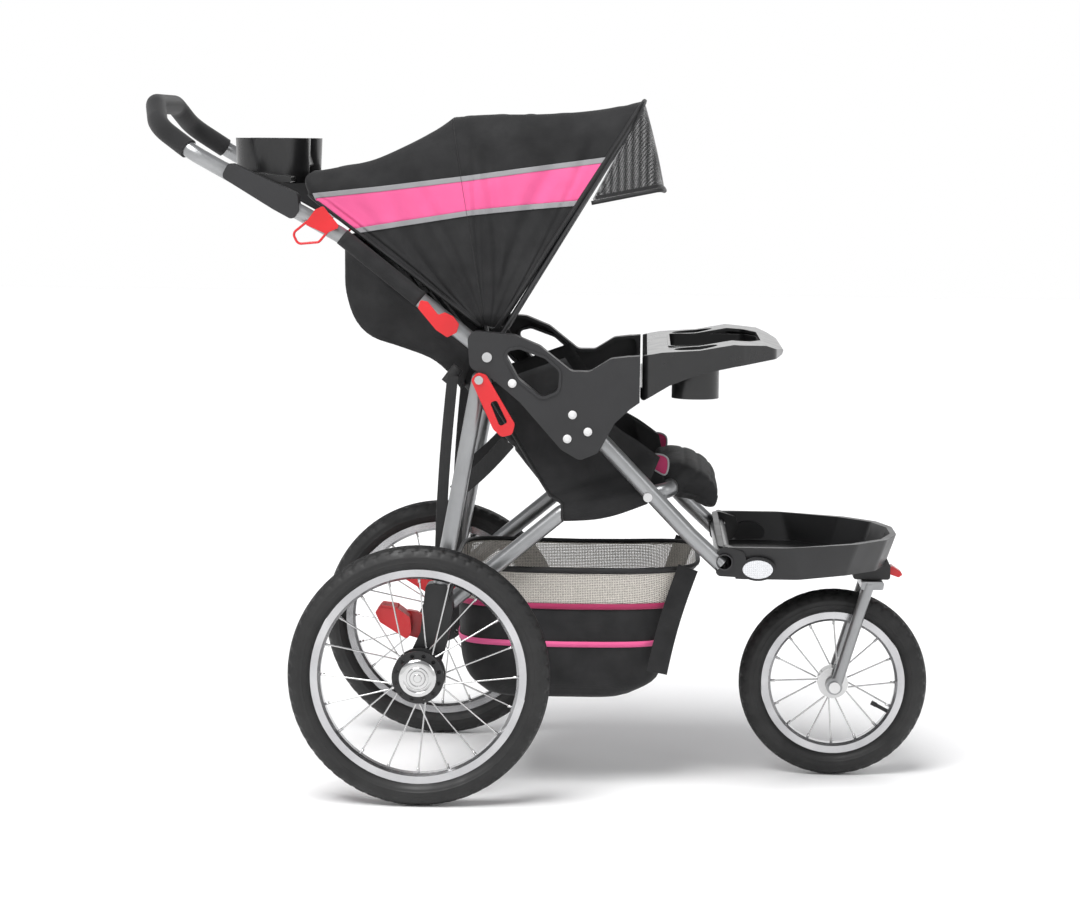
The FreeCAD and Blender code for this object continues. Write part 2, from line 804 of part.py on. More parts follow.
def make_handle():
    points = handle_points()
    frame = bent_tube(points, TUBE_R, TUBE_WALL, 60)
    knuckles = []
    for _, side in SIDES:
        knuckles.append(cross_pin(HANDLE_PIVOT, *across(side, 189, 211), 14))
    frame = frame.fuse(knuckles)
    frame = frame.cut(cross_pin(HANDLE_PIVOT, -240, 240, PIVOT_R + RUNNING_GAP))
    emit("handle_frame", frame)
    half_path = points[2:8]
    start = half_path[0] + (half_path[1] - half_path[0]) * 0.16
    end = half_path[-1] + (half_path[-2] - half_path[-1]) * 0.16
    foam_points = [start] + half_path[1:-1] + [end]
    path = rounded_path(foam_points, 60)
    heading = foam_points[1] - foam_points[0]
    foam = sweep(path, start, heading, GRIP_R).cut(sweep(path, start, heading, TUBE_R))
    emit("handle_grip", foam)


CUP_X = -246.0
CUP_Y = 84.0
CUP_R = 52.5
CUP_FLOOR_Z = 944.0
CUP_TOP_Z = 1009.0


def make_parent_tray():
    """Two cup wells with a small open box between them, on arms that reach the rail clamps."""
    tray = side_plate([(-292, 996), (-204, 988), (-198, 966), (-214, 950), (-288, 950)], -60, 60, 6)
    arm = side_plate([(-292, 958), (-206, 952), (-206, 942), (-292, 944)], -186, 186, 3)
    tray = tray.fuse(arm)
    for _, side in SIDES:
        place = V(CUP_X, side * CUP_Y, CUP_FLOOR_Z - 4)
        tray = tray.fuse(Part.makeCone(CUP_R + 3, CUP_R + 5.5, CUP_TOP_Z - CUP_FLOOR_Z + 4, place))
    for _, side in SIDES:
        tray = tray.cut(upright((CUP_X, side * CUP_Y), CUP_FLOOR_Z, CUP_TOP_Z + 20, CUP_R))
    room = top_plate([(-286, -20), (-210, -20), (-210, 20), (-286, 20)], 954, 1010, 8)
    tray = tray.cut(room)
    rail = sweep(rounded_path(handle_points(), 60), handle_points()[0],
                 handle_points()[1] - handle_points()[0], TUBE_R)
    outline = [(-297, 973), (-309, 950), (-230, 902), (-200, 886), (-190, 900), (-193, 926)]
    clamps = []
    for _, side in SIDES:
        block = side_plate(outline, *across(side, 183, 217), 8)
        clamps.append(block.cut(rail))
    tray = tray.cut(group(clamps))
    emit("parent_tray", tray)
    emit("tray_clamps", group(clamps))


# ---- fold triggers and latches ----
def make_triggers():
    for name, side in SIDES:
        plate = side_plate(
            [(-166, 902), (-154, 908), (-128, 876), (-150, 866), (-182, 880)],
            *across(side, 213.2, 217),
            4,
        )
        loop = bent_bar(
            [
                V(-178, side * 215.2, 884),
                V(-200, side * 215.2, 866),
                V(-192, side * 215.2, 850),
                V(-160, side * 215.2, 853),
                V(-146, side * 215.2, 870),
            ],
            1.9,
            8,
        )
        emit("fold_trigger_" + name, plate.fuse(loop))
        latch = side_plate(
            [(-5, 767), (6, 765), (22, 745), (32, 749), (45, 743), (54, 731), (50, 718), (36, 711),
             (19, 722), (-9, 755)],
            *across(side, 213.2, 218.2),
            3,
        )
        emit("fold_latch_" + name, latch)


# ---- canopy ----
MIDDLE_BOW_TOP = (38.0, 1036.0)
FRONT_BOW_TOP = (326.0, 1060.0)
BOW_CORNER = 45.0
BOW_EYE_R = 18.0


def bow(top, half_width, radius):
    """A hood bow: two straight legs from the handle pivot, joined over the top."""
    foot = V(HANDLE_PIVOT[0], -half_width, HANDLE_PIVOT[1])
    crown = V(top[0], -half_width, top[1])
    along = crown - foot
    along.normalize()
    points = [foot + along * (BOW_EYE_R - 4), crown]
    points += [V(p.x, -p.y, p.z) for p in reversed(points)]
    arch = bent_bar(points, radius, BOW_CORNER)
    eyes = []
    for _, side in SIDES:
        low, high = across(side, half_width - radius, half_width + radius)
        eyes.append(cross_pin(HANDLE_PIVOT, low, high, BOW_EYE_R))
    hub_hole = cross_pin(HANDLE_PIVOT, -240, 240, PIVOT_R + RUNNING_GAP)
    return arch.fuse(eyes).cut(hub_hole)


def make_canopy():
    emit("canopy_middle_bow", bow(MIDDLE_BOW_TOP, MIDDLE_BOW_Y, BOW_R))
    emit("canopy_front_bow", bow(FRONT_BOW_TOP, FRONT_BOW_Y, BOW_R))
    caps = []
    for _, side in SIDES:
        hub = cross_pin(HANDLE_PIVOT, *across(side, 160, 165.5), BOW_EYE_R + 2)
        caps.append(hub.cut(cross_pin(HANDLE_PIVOT, *across(side, 150, 170), PIVOT_R)))
    emit("canopy_hubs", group(caps))

    bow_room = bow(MIDDLE_BOW_TOP, MIDDLE_BOW_Y, BOW_R + BODY_GAP)
    bow_room = bow_room.fuse(bow(FRONT_BOW_TOP, FRONT_BOW_Y, BOW_R + BODY_GAP))
    rear_roof = [(86, 722), (-172, 922), (-184, 958), (-143, 960), (-87, 974), (-8, 1008), (32, 1044)]
    front_roof = [(116, 728), (44, 1050), (166, 1049), (250, 1056), (330, 1073)]
    for node, roof in (("canopy_rear", rear_roof), ("canopy_front", front_roof)):
        hood = side_plate(roof, -FABRIC_Y, FABRIC_Y, 2)
        face = Part.Face(side_wire(roof, 2, -FABRIC_Y + FABRIC_T)).makeOffset2D(-4)
        room = face.extrude(V(0, 2 * (FABRIC_Y - FABRIC_T), 0))
        below = room.copy()
        below.translate(V(0, 0, -12))
        ahead = room.copy()
        ahead.translate(V(6 if node == "canopy_front" else -6, 0, -2))
        emit(node, hood.cut(group([room, below, ahead])).cut(bow_room))
    visor = side_plate([(333, 1071), (263, 925), (362, 940), (366, 946)], -FABRIC_Y, FABRIC_Y, 2)
    hollow_side = [(322, 1050), (252, 915), (357, 938), (360, 944)]
    hollow = side_plate(hollow_side, -FABRIC_Y + FABRIC_T, FABRIC_Y - FABRIC_T, 2)
    emit("canopy_visor", visor.cut(hollow).cut(bow_room))


# ---- child tray ----
def make_child_tray():
    side_view = [
        (330, 688),
        (362, 694),
        (420, 698),
        (470, 707),
        (520, 704),
        (552, 692),
        (549, 685),
        (474, 674),
        (420, 662),
        (374, 644),
        (330, 617),
    ]
    plan = [(330, -246), (480, -246), (536, -200), (551, -110), (551, 110), (536, 200), (480, 246),
            (330, 246)]
    block = side_plate(side_view, -247, 247, 5)
    block = block.common(top_plate(plan, 560, 760, 22))
    lowered = [(x, z - 5) for x, z in side_view[:6]] + [(550, 640), (330, 560)]
    under = side_plate(lowered, -242, 242, 4)
    under = under.common(top_plate(inset_plan(plan, 5, 430), 500, 760, 18))
    back_cut = Part.makeBox(40, 470, 60, V(300, -235, 640))
    skin = block.cut(under).cut(back_cut)
    basin_plan = [(372, -150), (500, -150), (520, -100), (520, 100), (500, 150), (372, 150)]
    basin = top_plate(basin_plan, 674, 697, 20)
    wells = [basin]
    rooms = [top_plate(inset_plan(basin_plan, 4, 440), 678, 730, 17)]
    for _, side in SIDES:
        wells.append(upright((414, side * 192), 622, 694, 36))
        rooms.append(upright((414, side * 192), 626, 730, 33))
    tray = skin.fuse(wells)
    emit("child_tray", tray.cut(group(rooms)))


def make_straps():
    """Webbing that ties the corners of the seat back to the foot of each rear leg."""
    straps = []
    for _, side in SIDES:
        outline = [(24, 644), (42, 644), (36, 340), (20, 340)]
        straps.append(side_plate(outline, *across(side, 203, 205), 1))
    emit("back_straps", group(straps))


os.makedirs("parts", exist_ok=True)
make_wheels()
make_fork()
make_stem()
make_foot_tray()
make_front_tubes()
make_brackets()
emit("pivot_bolts", group(make_pivot_bolts()))
make_rear_frame()
make_brakes()
make_lock_levers()
make_seat_frame()
make_seat()
make_harness()
make_basket()
make_handle()
make_parent_tray()
make_triggers()
make_canopy()
make_child_tray()
make_straps()
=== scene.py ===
import math
import bmesh
import bpy
from mathutils import Matrix, Vector, noise
from mathutils.bvhtree import BVHTree


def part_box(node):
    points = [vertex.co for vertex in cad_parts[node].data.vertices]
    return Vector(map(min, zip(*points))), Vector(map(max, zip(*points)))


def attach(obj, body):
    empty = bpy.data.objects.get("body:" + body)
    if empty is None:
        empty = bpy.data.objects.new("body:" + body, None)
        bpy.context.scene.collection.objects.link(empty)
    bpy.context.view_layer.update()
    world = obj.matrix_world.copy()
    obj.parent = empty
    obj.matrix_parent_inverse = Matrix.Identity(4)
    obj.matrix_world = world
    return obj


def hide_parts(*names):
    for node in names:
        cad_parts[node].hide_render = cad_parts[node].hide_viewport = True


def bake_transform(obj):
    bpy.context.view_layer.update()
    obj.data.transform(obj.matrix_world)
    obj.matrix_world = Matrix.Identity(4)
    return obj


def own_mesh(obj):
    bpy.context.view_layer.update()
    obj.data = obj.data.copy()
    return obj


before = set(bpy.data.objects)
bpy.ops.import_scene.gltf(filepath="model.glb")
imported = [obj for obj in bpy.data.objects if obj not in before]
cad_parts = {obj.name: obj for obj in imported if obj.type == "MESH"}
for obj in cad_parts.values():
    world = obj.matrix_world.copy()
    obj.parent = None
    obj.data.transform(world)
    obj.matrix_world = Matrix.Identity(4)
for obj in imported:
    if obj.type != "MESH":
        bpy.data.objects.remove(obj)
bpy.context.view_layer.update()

# Lengths below are millimetres: x from the rear axle, y from the middle plane, z from the floor.
AXLE_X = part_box("rear_tyre_right")[0].x + 0.2
SIDES = (("right", -1.0), ("left", 1.0))
RAIL_Y = 200.0
FABRIC_Y = 186.0


def at(x, y, z):
    """A point of the stroller, in metres in the shared frame."""
    return Vector((x / 1000 + AXLE_X, y / 1000, z / 1000))


def mix(a, b, t):
    return a + (b - a) * t


def smooth(t):
    t = max(0.0, min(1.0, t))
    return t * t * (3 - 2 * t)


def along(points, t):
    """A point on a smooth curve through the points, by share of their number of spans."""
    spans = len(points) - 1
    place = max(0.0, min(0.99999, t)) * spans
    i = int(place)
    f = place - i
    p0 = points[max(i - 1, 0)]
    p1 = points[i]
    p2 = points[i + 1]
    p3 = points[min(i + 2, spans)]
    result = []
    for a, b, c, d in zip(p0, p1, p2, p3):
        bend = (2 * a - 5 * b + 4 * c - d) * f * f + (3 * b - a - 3 * c + d) * f ** 3
        result.append(0.5 * (2 * b + (c - a) * f + bend))
    return tuple(result)


def even(points, count):
    """Points spaced evenly by length along the smooth curve through the given ones."""
    fine = [along(points, i / 400) for i in range(401)]
    reach = [0.0]
    for a, b in zip(fine, fine[1:]):
        reach.append(reach[-1] + math.dist(a, b))
    result = []
    j = 0
    for i in range(count):
        want = reach[-1] * i / (count - 1)
        while j < 399 and reach[j + 1] < want:
            j += 1
        f = (want - reach[j]) / max(reach[j + 1] - reach[j], 1e-9)
        result.append(tuple(mix(a, b, min(f, 1.0)) for a, b in zip(fine[j], fine[j + 1])))
    return result


def line(start, stop, count):
    """Points spaced evenly between two places of the stroller."""
    spots = []
    for i in range(count):
        spots.append(at(*(mix(a, b, i / (count - 1)) for a, b in zip(start, stop))))
    return spots


# ---- meshes ----
def piece(name, points, faces, material, shade_smooth=True):
    mesh = bpy.data.meshes.new(name)
    mesh.from_pydata([tuple(p) for p in points], [], faces)
    mesh.validate()
    mesh.update()
    obj = bpy.data.objects.new(name, mesh)
    bpy.context.scene.collection.objects.link(obj)
    mesh.materials.append(material)
    for polygon in mesh.polygons:
        polygon.use_smooth = shade_smooth
    return obj


def grid(name, rows, material, wrap_rows=False, wrap_across=False):
    """A surface through rows of points, which may close on itself either way."""
    wide = len(rows[0])
    points = [p for row in rows for p in row]
    faces = []
    for i in range(len(rows) if wrap_rows else len(rows) - 1):
        for j in range(wide if wrap_across else wide - 1):
            low = i * wide
            high = (i + 1) % len(rows) * wide
            k = (j + 1) % wide
            faces.append((low + j, low + k, high + k, high + j))
    return piece(name, points, faces, material)


def settle(obj):
    """Make the object's modifiers part of its mesh."""
    graph = bpy.context.evaluated_depsgraph_get()
    final = bpy.data.meshes.new_from_object(obj.evaluated_get(graph))
    obj.modifiers.clear()
    obj.data = final
    return obj


def thicken(obj, thickness, offset=0.0, rounds=0):
    solid = obj.modifiers.new("thickness", "SOLIDIFY")
    solid.thickness = thickness / 1000
    solid.offset = offset
    if rounds:
        rounding = obj.modifiers.new("rounding", "SUBSURF")
        rounding.levels = rounds
        rounding.render_levels = rounds
    return settle(obj)


def tube_rows(points, radius, sides=12, flat=1.0, up=None):
    """Rings of points round a path; flat below 1 presses the ring towards a strap."""
    rows = []
    normal = up or Vector((0, 0, 1))
    for i, p in enumerate(points):
        ahead = points[min(i + 1, len(points) - 1)]
        behind = points[max(i - 1, 0)]
        heading = (ahead - behind).normalized()
        across = heading.cross(normal)
        if across.length < 1e-4:
            across = heading.cross(Vector((0, 1, 0)))
        across.normalize()
        normal_here = across.cross(heading).normalized()
        if up is None:
            normal = normal_here
        ring = []
        for k in range(sides):
            a = 2 * math.pi * k / sides
            step = across * math.cos(a) * radius + normal_here * math.sin(a) * radius * flat
            ring.append(p + step / 1000)
        rows.append(ring)
    return rows


def tube(name, points, radius, material, sides=12, closed=False, flat=1.0, up=None):
    rows = tube_rows(points, radius, sides, flat, up)
    obj = grid(name, rows, material, wrap_rows=closed, wrap_across=True)
    if not closed:
        cap_ends(obj)
    return obj


def cap_ends(obj):
    model = bmesh.new()
    model.from_mesh(obj.data)
    bmesh.ops.holes_fill(model, edges=[e for e in model.edges if e.is_boundary])
    bmesh.ops.recalc_face_normals(model, faces=model.faces)
    model.to_mesh(obj.data)
    model.free()
    for polygon in obj.data.polygons:
        polygon.use_smooth = True


def ribbon(name, points, outwards, width, thickness, material):
    """A flat strap along points, lying across the given outward directions."""
    rows = []
    for i, p in enumerate(points):
        heading = (points[min(i + 1, len(points) - 1)] - points[max(i - 1, 0)]).normalized()
        out = outwards[i] if isinstance(outwards, list) else outwards
        across = heading.cross(out).normalized()
        lift = across.cross(heading).normalized()
        half = across * width / 2000
        raised = lift * thickness / 1000
        edge = half * 0.97
        rows.append([
            p - half + raised * 0.3,
            p - edge + raised,
            p + raised * 1.15,
            p + edge + raised,
            p + half + raised * 0.3,
            p + edge,
            p,
            p - edge,
        ])
    obj = grid(name, rows, material, wrap_across=True)
    cap_ends(obj)
    obj.data.set_sharp_from_angle(angle=math.radians(50))
    return obj


def lathe(name, profile, centre, material, steps=96, ripple=None):
    """A shape turned about a cross axis: profile holds (radius, y) pairs, closed on itself."""
    rows = []
    for i in range(steps):
        a = 2 * math.pi * i / steps
        row = []
        for k, (radius, y) in enumerate(profile):
            r = radius + (ripple(i, k) if ripple else 0.0)
            row.append(at(centre[0] + r * math.cos(a), y, centre[1] + r * math.sin(a)))
        rows.append(row)
    return grid(name, rows, material, wrap_rows=True, wrap_across=True)


def join(name, objects):
    """Merge several meshes that share one material into one piece."""
    model = bmesh.new()
    for obj in objects:
        model.from_mesh(obj.data)
    model.to_mesh(objects[0].data)
    model.free()
    for obj in objects[1:]:
        bpy.data.objects.remove(obj)
    objects[0].name = name
    return objects[0]


# ---- materials ----
class Finish:
    """A procedural material: its bumps, colour variation and gloss come from node textures."""

    def __init__(self, name, roughness, metallic=0.0, **constants):
        self.material = bpy.data.materials.new(name)
        self.material.use_nodes = True
        self.tree = self.material.node_tree
        self.shader = self.tree.nodes["Principled BSDF"]
        self.shader.inputs["Roughness"].default_value = roughness
        self.shader.inputs["Metallic"].default_value = metallic
        for socket, value in constants.items():
            self.shader.inputs[socket.replace("_", " ")].default_value = value
        self.normal = None
        place = self.tree.nodes.new("ShaderNodeTexCoord")
        self.place = place.outputs["Object"]

    def wire(self, source, target):
        self.tree.links.new(source, target)

    def cloth_place(self):
        """Coordinates along the cloth: x one way, y and z together the other."""
        split = self.tree.nodes.new("ShaderNodeSeparateXYZ")
        self.wire(self.place, split.inputs[0])
        other = self.tree.nodes.new("ShaderNodeMath")
        other.operation = "ADD"
        self.wire(split.outputs["Y"], other.inputs[0])
        self.wire(split.outputs["Z"], other.inputs[1])
        joined = self.tree.nodes.new("ShaderNodeCombineXYZ")
        self.wire(split.outputs["X"], joined.inputs["X"])
        self.wire(other.outputs[0], joined.inputs["Y"])
        return joined.outputs[0]

    def stretched(self, scale):
        """The place, scaled by a different amount on each axis."""
        mapping = self.tree.nodes.new("ShaderNodeMapping")
        mapping.inputs["Scale"].default_value = scale
        self.wire(self.place, mapping.inputs["Vector"])
        return mapping.outputs[0]

    def clouds(self, scale, detail=3.0, distortion=0.0, place=None):
        texture = self.tree.nodes.new("ShaderNodeTexNoise")
        texture.inputs["Scale"].default_value = scale
        texture.inputs["Detail"].default_value = detail
        texture.inputs["Distortion"].default_value = distortion
        self.wire(place or self.place, texture.inputs["Vector"])
        return texture.outputs[0]

    def bands(self, pitch, direction, place):
        texture = self.tree.nodes.new("ShaderNodeTexWave")
        texture.bands_direction = direction
        texture.inputs["Scale"].default_value = 0.314 / pitch * 1000
        self.wire(place, texture.inputs["Vector"])
        return texture.outputs["Fac"]

    def combine(self, a, b, operation):
        node = self.tree.nodes.new("ShaderNodeMath")
        node.operation = operation
        self.wire(a, node.inputs[0])
        self.wire(b, node.inputs[1])
        return node.outputs[0]

    def spread(self, source, low, high, start=0.3, stop=0.7):
        node = self.tree.nodes.new("ShaderNodeMapRange")
        node.inputs["From Min"].default_value = start
        node.inputs["From Max"].default_value = stop
        node.inputs["To Min"].default_value = low
        node.inputs["To Max"].default_value = high
        self.wire(source, node.inputs["Value"])
        return node.outputs[0]

    def colours(self, source, low, high, start=0.3, stop=0.7):
        ramp = self.tree.nodes.new("ShaderNodeValToRGB")
        ramp.color_ramp.elements[0].position = start
        ramp.color_ramp.elements[1].position = stop
        ramp.color_ramp.elements[0].color = (*low, 1)
        ramp.color_ramp.elements[1].color = (*high, 1)
        self.wire(source, ramp.inputs[0])
        self.wire(ramp.outputs[0], self.shader.inputs["Base Color"])
        return ramp

    def gloss(self, source, low, high):
        self.wire(self.spread(source, low, high), self.shader.inputs["Roughness"])

    def round_edges(self, radius):
        node = self.tree.nodes.new("ShaderNodeBevel")
        node.samples = 4
        node.inputs["Radius"].default_value = radius / 1000
        self.normal = node.outputs[0]
        self.wire(self.normal, self.shader.inputs["Normal"])

    def bump(self, height, depth, strength=1.0):
        node = self.tree.nodes.new("ShaderNodeBump")
        node.inputs["Distance"].default_value = depth / 1000
        node.inputs["Strength"].default_value = strength
        self.wire(height, node.inputs["Height"])
        if self.normal:
            self.wire(self.normal, node.inputs["Normal"])
        self.normal = node.outputs[0]
        self.wire(self.normal, self.shader.inputs["Normal"])


def plastic(name, low, high, roughness, grain=0.02, edge=0.8, coat=0.0):
    made = Finish(name, roughness, Coat_Weight=coat, Coat_Roughness=0.15)
    made.colours(made.clouds(9, 4), low, high)
    vary = min(0.07, roughness * 0.12)
    made.gloss(made.clouds(24, 3), roughness - vary, roughness + vary)
    made.round_edges(edge)
    made.bump(made.clouds(900, 1), grain)
    return made.material


def metal(name, low, high, roughness, metallic=1.0, stretch=(1, 1, 1), grain=0.004, coat=0.0):
    made = Finish(name, roughness, metallic, Coat_Weight=coat, Coat_Roughness=0.08)
    made.colours(made.clouds(14, 4), low, high)
    streaks = made.clouds(90, 2, place=made.stretched(stretch))
    made.gloss(streaks, roughness * 0.88, roughness * 1.12)
    made.bump(streaks, grain, 0.5)
    return made.material


def cloth(name, low, high, roughness=0.85, pitch=1.5, depth=0.22, crease=2.2, sheen=0.25):
    made = Finish(name, roughness, Sheen_Weight=sheen, Sheen_Roughness=0.45)
    place = made.cloth_place()
    warp = made.bands(pitch, "X", place)
    weft = made.bands(pitch, "Y", place)
    weave = made.combine(warp, weft, "MULTIPLY")
    fade = made.combine(made.clouds(7, 4, 0.6), made.spread(weave, -0.08, 0.08, 0, 1), "ADD")
    made.colours(fade, low, high)
    made.gloss(made.clouds(25, 3), roughness - 0.1, roughness + 0.08)
    if crease:
        made.bump(made.clouds(9, 3, 1.4), crease, 0.7)
        made.bump(made.clouds(38, 2, 0.8), crease * 0.25, 0.6)
    made.bump(weave, depth)
    return made.material


def net(name, colour, pitch, open_share, roughness=0.7):
    """Knitted mesh: threads with small open holes between them."""
    made = Finish(name, roughness, Sheen_Weight=0.2)
    place = made.cloth_place()
    across = made.bands(pitch, "X", place)
    up = made.bands(pitch, "Y", place)
    hole = made.combine(across, up, "MULTIPLY")
    dim = tuple(c * 0.6 for c in colour)
    made.colours(made.clouds(500, 2), dim, colour)
    threads = made.spread(hole, 1.0, 0.0, open_share, open_share + 0.06)
    made.wire(threads, made.shader.inputs["Alpha"])
    made.bump(hole, 0.4)
    return made.material


SILVER = metal("satin_silver_paint", (0.27, 0.275, 0.28), (0.35, 0.355, 0.36), 0.32, 0.8, coat=0.2)
CHROME = metal("chrome", (0.5, 0.5, 0.5), (0.64, 0.64, 0.64), 0.14, grain=0.003)
RIM = metal("polished_rim", (0.42, 0.42, 0.43), (0.56, 0.56, 0.57), 0.2, stretch=(1, 9, 1))
DARK_STEEL = metal("black_enamel_tube", (0.012, 0.012, 0.013), (0.02, 0.02, 0.022), 0.38, 0.0, coat=0.3)
BLACK = plastic("black_moulding", (0.005, 0.005, 0.0055), (0.010, 0.010, 0.011), 0.42)
BRACKET = plastic("charcoal_moulding", (0.011, 0.011, 0.012), (0.0175, 0.0175, 0.019), 0.55, 0.05)
CUP = plastic("glossy_black_moulding", (0.005, 0.005, 0.0055), (0.009, 0.009, 0.0095), 0.3, 0.003, coat=0.2)
RED = plastic("red_moulding", (0.5, 0.004, 0.008), (0.66, 0.008, 0.014), 0.36, 0.006, coat=0.25)
RIVET = plastic("pale_rivet", (0.58, 0.58, 0.58), (0.7, 0.7, 0.7), 0.3, 0.005)
FABRIC = cloth("black_canvas", (0.006, 0.006, 0.0065), (0.012, 0.012, 0.013), crease=4.5, sheen=0.04)
PAD = cloth("padded_black_cloth", (0.007, 0.007, 0.0075), (0.014, 0.014, 0.015), crease=1.6, sheen=0.06)
PINK = cloth("pink_canvas", (0.70, 0.085, 0.25), (0.82, 0.125, 0.325), 0.7, crease=2.4, sheen=0.1)
DEEP_PINK = cloth("deep_pink_canvas", (0.30, 0.012, 0.07), (0.42, 0.02, 0.11), 0.75, crease=1.0)
PIPING = cloth("grey_piping", (0.22, 0.22, 0.23), (0.30, 0.30, 0.31), 0.5, 1.0, 0.1, 0.3)
WEBBING = cloth("black_webbing", (0.004, 0.004, 0.0045), (0.009, 0.009, 0.0095), 0.6, 2.2, 0.3, 0.0, 0.05)
BINDING = cloth("black_binding", (0.004, 0.004, 0.0045), (0.008, 0.008, 0.0085), 0.6, 1.2, 0.15, 0.3, 0.05)
VISOR_NET = net("visor_net", (0.02, 0.02, 0.021), 0.9, 0.36)
BASKET_NET = net("basket_net", (0.72, 0.68, 0.62), 2.6, 0.24)


def tyre_rubber():
    made = Finish("tyre_rubber", 0.62)
    made.colours(made.clouds(11, 5), (0.0035, 0.0035, 0.0037), (0.009, 0.0088, 0.0088))
    made.gloss(made.clouds(30, 4), 0.45, 0.7)
    made.bump(made.clouds(500, 2), 0.12)
    return made.material


def foam():
    made = Finish("foam_grip", 0.9, Sheen_Weight=0.12)
    made.colours(made.clouds(18, 4), (0.005, 0.005, 0.0055), (0.011, 0.011, 0.012))
    made.bump(made.clouds(30, 3, 0.5), 1.2, 0.4)
    made.bump(made.clouds(700, 3), 0.5)
    return made.material


def lens():
    """Prismatic reflector: fine crossed ridges under a clear face."""
    made = Finish("reflector_lens", 0.16, 0.35, Coat_Weight=1.0, Coat_Roughness=0.05)
    place = made.cloth_place()
    ridges = made.combine(made.bands(3.0, "X", place), made.bands(3.0, "Y", place), "MAXIMUM")
    made.colours(ridges, (0.5, 0.51, 0.53), (0.72, 0.73, 0.75))
    made.bump(ridges, 0.5)
    return made.material


TYRE = tyre_rubber()
FOAM = foam()
LENS = lens()


def dress(material, *names):
    """Give carried-over CAD pieces a finished material."""
    for name in names:
        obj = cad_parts[name]
        if not obj.data.materials:
            obj.data.materials.append(material)
        for place in obj.material_slots:
            place.material = material


def both(stem):
    return [stem + "_" + name for name, _ in SIDES]


dress(SILVER, "handle_frame", "seat_frame_tube", "fork", *both("front_tube"), *both("rear_leg"))
dress(DARK_STEEL, "rear_axle_tube", "tray_cross_tube", "canopy_front_bow", "canopy_middle_bow")
dress(CHROME, "front_spokes", "front_hub", "front_axle", *both("rear_spokes"))
dress(CHROME, "pivot_bolts", "rear_bracket_pins", "steering_bearings")
dress(RIM, "front_rim", *both("rear_rim"))
dress(BLACK, *both("rear_hub"), *both("axle_bracket"), "stem_housing", "canopy_hubs", "foot_tray")
dress(BRACKET, *both("side_bracket"), "tray_clamps")
dress(CUP, "parent_tray", "child_tray")
dress(RED, *both("fold_trigger"), *both("fold_latch"), *both("lock_lever"), *both("brake_pedal"))
dress(RED, "swivel_lock_lever")
dress(RIVET, "bracket_rivets")
dress(FOAM, "handle_grip")
dress(LENS, "tray_reflectors")


# ---- wheels ----
def tyre_profile(radius, rim_radius, y):
    """Half-round tyre section with a ribbed tread and two raised sidewall rings."""
    depth = radius - rim_radius
    rows = []
    for k in range(56):
        a = math.pi * (k / 55) * 1.62 - math.pi * 0.81
        out = math.cos(a)
        r = rim_radius + depth * 0.40 + (depth * 0.60 if out > 0 else depth * 0.46) * out
        width = 22.3 * math.copysign(abs(math.sin(a)) ** 0.86, math.sin(a))
        if a and abs(abs(a) - 1.75) < 0.05 or abs(abs(a) - 1.3) < 0.05:
            width *= 1.028
        rows.append((r, y + width, a))
    return rows


def make_tyre(name, radius, rim_radius, x, y, body):
    section = tyre_profile(radius, rim_radius, y)
    steps = int(radius * 2.4) // 8 * 8
    angles = [a for _, _, a in section]

    def ripple(i, k):
        a = abs(angles[k])
        if a < 0.10:
            return -0.2
        if a < 0.20:
            return -1.9
        if a < 0.62:
            block = (i + (4 if angles[k] > 0 else 0)) % 8
            return -1.9 if block in (0, 1) else -0.2
        if a < 0.72:
            return -1.6
        if a < 1.1:
            return -1.3 if (i + (2 if angles[k] > 0 else 6)) % 8 < 2 else -0.1
        return 0.0

    profile = [(r, w) for r, w, _ in section]
    tyre = lathe(name, profile, (x, radius), TYRE, steps, ripple)
    tyre.data.set_sharp_from_angle(angle=math.radians(40))
    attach(tyre, body)
    return tyre


def spoke_nipples(name, count, inner_radius, x, y, z, body):
    """Brass-bodied nipples where the spokes meet the rim."""
    parts = []
    for i in range(count):
        a = 2 * math.pi * i / count
        out = Vector((math.cos(a), 0, math.sin(a)))
        base = at(x, y, z) + out * (inner_radius - 7) / 1000
        tip = at(x, y, z) + out * (inner_radius + 1) / 1000
        parts.append(tube("nipple", [base, mix(base, tip, 0.5), tip], 2.1, CHROME, 8))
    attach(join(name, parts), body)


def valve(name, x, z, inner_radius, angle, y, body):
    out = Vector((math.cos(angle), 0, math.sin(angle)))
    start = at(x, y, z) + out * inner_radius / 1000
    spots = [start - out * d / 1000 for d in (-2, 4, 14, 20)]
    stem = tube(name + "_stem", spots, 3.1, BLACK, 12)
    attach(stem, body)
    top = [start - out * d / 1000 for d in (19, 22, 27, 28)]
    cap = tube(name + "_cap", top, 3.8, BLACK, 12)
    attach(cap, body)


# Hub cap section: radius, and height above the hub's face.
CAP_RINGS = [
    (0.01, 0.2),
    (5.5, 0.2),
    (6.5, -1.6),
    (11.0, -1.6),
    (12.5, 0.1),
    (16.0, 0.3),
    (17.2, -0.8),
    (20.5, -0.8),
    (22.0, 0.2),
    (25.5, -0.4),
    (28.2, -2.4),
    (28.2, -10.0),
    (0.01, -10.0),
]
REAR_WHEEL_Y = 275.0

